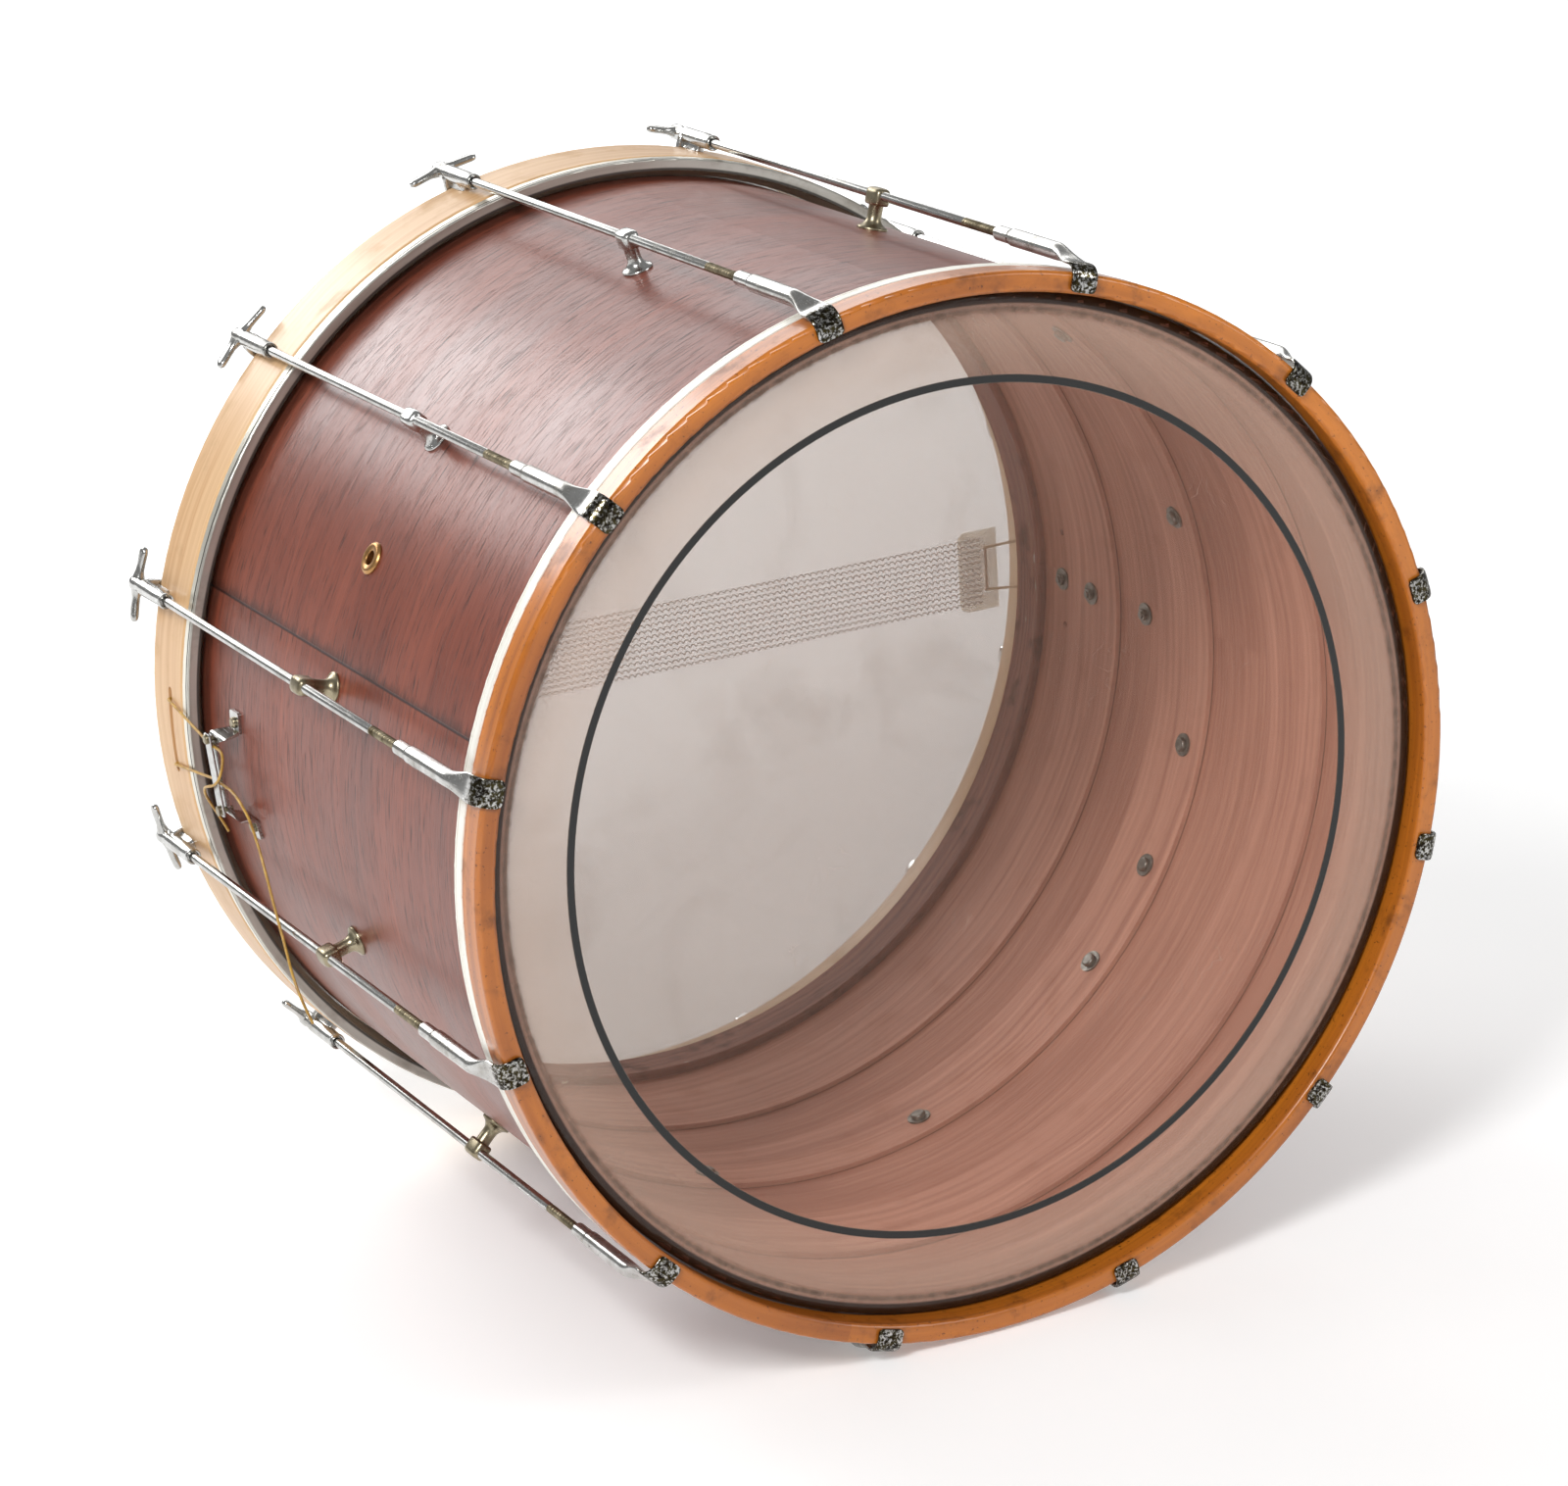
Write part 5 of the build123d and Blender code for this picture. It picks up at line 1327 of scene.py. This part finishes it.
class DRUM_OT_snares(bpy.types.Operator):
    """Makes the coiled snares and finishes their end plates and cords"""

    bl_idname = "drum.snares"
    bl_label = "Snares and Cords"
    bl_options = {"REGISTER", "UNDO"}

    def execute(self, context):
        build_snares()
        dress("snare_plate_left", "snare_plate")
        dress("snare_plate_right", "snare_plate")
        dress("butt_cord", "gut")
        dress("strainer_cord", "gut")
        build_tail("short_gut_tail", "cord_tail_short", SHORT_TAIL)
        build_tail("long_gut_tail", "cord_tail_long", LONG_TAIL)
        return {"FINISHED"}


class DRUM_OT_strainers(bpy.types.Operator):
    """Finishes the butt clamp and the strainer"""

    bl_idname = "drum.strainers"
    bl_label = "Butt Clamp and Strainer"
    bl_options = {"REGISTER", "UNDO"}

    def execute(self, context):
        for node in ("butt_bracket", "butt_jaw", "strainer_base", "strainer_slide", "strainer_clamp_plate"):
            dress(node, "chrome")
        dress("strainer_knob", "nickel")
        for node in ("butt_jaw_screws", "butt_foot_screws", "strainer_clamp_screws"):
            dress(node, "nickel")
        dress("strainer_screws", "steel")
        dress("strainer_nuts", "steel")
        return {"FINISHED"}


def aim(obj, target):
    """Points a light at a place."""
    obj.rotation_euler = (Vector(target) - obj.location).to_track_quat("-Z", "Y").to_euler()


def add_light(name, location, target, size, power, colour=(1, 1, 1)):
    """A soft rectangular light."""
    light = bpy.data.lights.new(name, "AREA")
    light.shape = "RECTANGLE"
    light.size, light.size_y = size
    light.energy = power
    light.color = colour
    lamp = bpy.data.objects.new(name, light)
    bpy.context.scene.collection.objects.link(lamp)
    lamp.location = location
    aim(lamp, target)
    return lamp


def stage_floor():
    """A plain pale floor under the drum."""
    material, nodes, shader = new_finish("pale_floor", Roughness=0.9, Emission_Strength=0.22)
    shader.inputs["Emission Color"].default_value = (1, 1, 1, 1)
    place = nodes.add("ShaderNodeTexCoord").outputs["Object"]
    tone = nodes.range(nodes.noise(place, 3.0, 2.0), 0.3, 0.7, 0.0, 1.0)
    feed(nodes, shader, Base_Color=nodes.mix(tone, (0.86, 0.86, 0.86, 1), (0.89, 0.89, 0.89, 1)))
    mesh = bpy.data.meshes.new("pale_floor")
    builder = bmesh.new()
    bmesh.ops.create_grid(builder, x_segments=1, y_segments=1, size=12)
    builder.to_mesh(mesh)
    builder.free()
    mesh.materials.append(material)
    floor = bpy.data.objects.new("pale_floor", mesh)
    bpy.context.scene.collection.objects.link(floor)


class DRUM_OT_stage(bpy.types.Operator):
    """Sets the pale floor, the soft light and the camera"""

    bl_idname = "drum.stage"
    bl_label = "Stage"
    bl_options = {"REGISTER", "UNDO"}

    def execute(self, context):
        stage_floor()
        middle = (0, 0, AXIS_Z)
        add_light("Key Soft Light", (-2.2, -1.9, 2.6), middle, (0.9, 0.9), 88)
        add_light("Back Soft Light", (-0.9, 3.3, 2.1), middle, (1.5, 1.2), 34)
        add_light("Right Fill", (2.2, -2.4, 1.8), middle, (1.0, 1.4), 24)
        add_light("Floor Light", (0.6, 6.0, 3.6), (0.6, 6.0, 0), (9.0, 6.0), 420)
        world = bpy.data.worlds.new("Pale Room")
        world.use_nodes = True
        world.node_tree.nodes["Background"].inputs["Color"].default_value = (1, 1, 1, 1)
        world.node_tree.nodes["Background"].inputs["Strength"].default_value = 0.3
        context.scene.world = world
        camera_data = bpy.data.cameras.new("Studio Camera")
        camera_data.lens = 110.138
        camera_data.sensor_width = 36
        camera_data.sensor_fit = "HORIZONTAL"
        camera = bpy.data.objects.new("Studio Camera", camera_data)
        context.scene.collection.objects.link(camera)
        camera.location = (-1.26075, -2.53031, 1.22113)
        camera.rotation_euler = Euler([math.radians(part) for part in (71.8999, 3.5341, -27.7354)])
        context.scene.camera = camera
        context.scene.view_settings.view_transform = "Standard"
        return {"FINISHED"}


PIECE_OPERATORS = (
    DRUM_OT_woods,
    DRUM_OT_heads,
    DRUM_OT_claws,
    DRUM_OT_rods,
    DRUM_OT_posts,
    DRUM_OT_snares,
    DRUM_OT_strainers,
    DRUM_OT_stage,
)


class DRUM_PT_panel(bpy.types.Panel):
    """Buttons for each group of pieces, with the sizes and colours they read"""

    bl_label = "Bass Drum"
    bl_idname = "DRUM_PT_panel"
    bl_space_type = "VIEW_3D"
    bl_region_type = "UI"
    bl_category = "Bass Drum"

    def draw(self, context):
        column = self.layout.column(align=True)
        for operator in PIECE_OPERATORS:
            column.operator(operator.bl_idname)
        for title, group in (("Sizes", context.scene.drum_sizes), ("Colours", context.scene.drum_colours)):
            box = self.layout.box()
            box.label(text=title)
            for name in group.bl_rna.properties.keys():
                if name not in ("rna_type", "name"):
                    box.prop(group, name)


CLASSES = (DrumSizes, DrumColours, *PIECE_OPERATORS, DRUM_PT_panel)


def register():
    for listed in CLASSES:
        bpy.utils.register_class(listed)
    bpy.types.Scene.drum_sizes = PointerProperty(type=DrumSizes)
    bpy.types.Scene.drum_colours = PointerProperty(type=DrumColours)


def unregister():
    del bpy.types.Scene.drum_colours
    del bpy.types.Scene.drum_sizes
    for listed in reversed(CLASSES):
        bpy.utils.unregister_class(listed)


def main():
    register()
    bpy.ops.drum.woods()
    bpy.ops.drum.heads()
    bpy.ops.drum.claws()
    bpy.ops.drum.rods()
    bpy.ops.drum.posts()
    bpy.ops.drum.snares()
    bpy.ops.drum.strainers()
    bpy.ops.drum.stage()


if __name__ == "__main__":
    main()
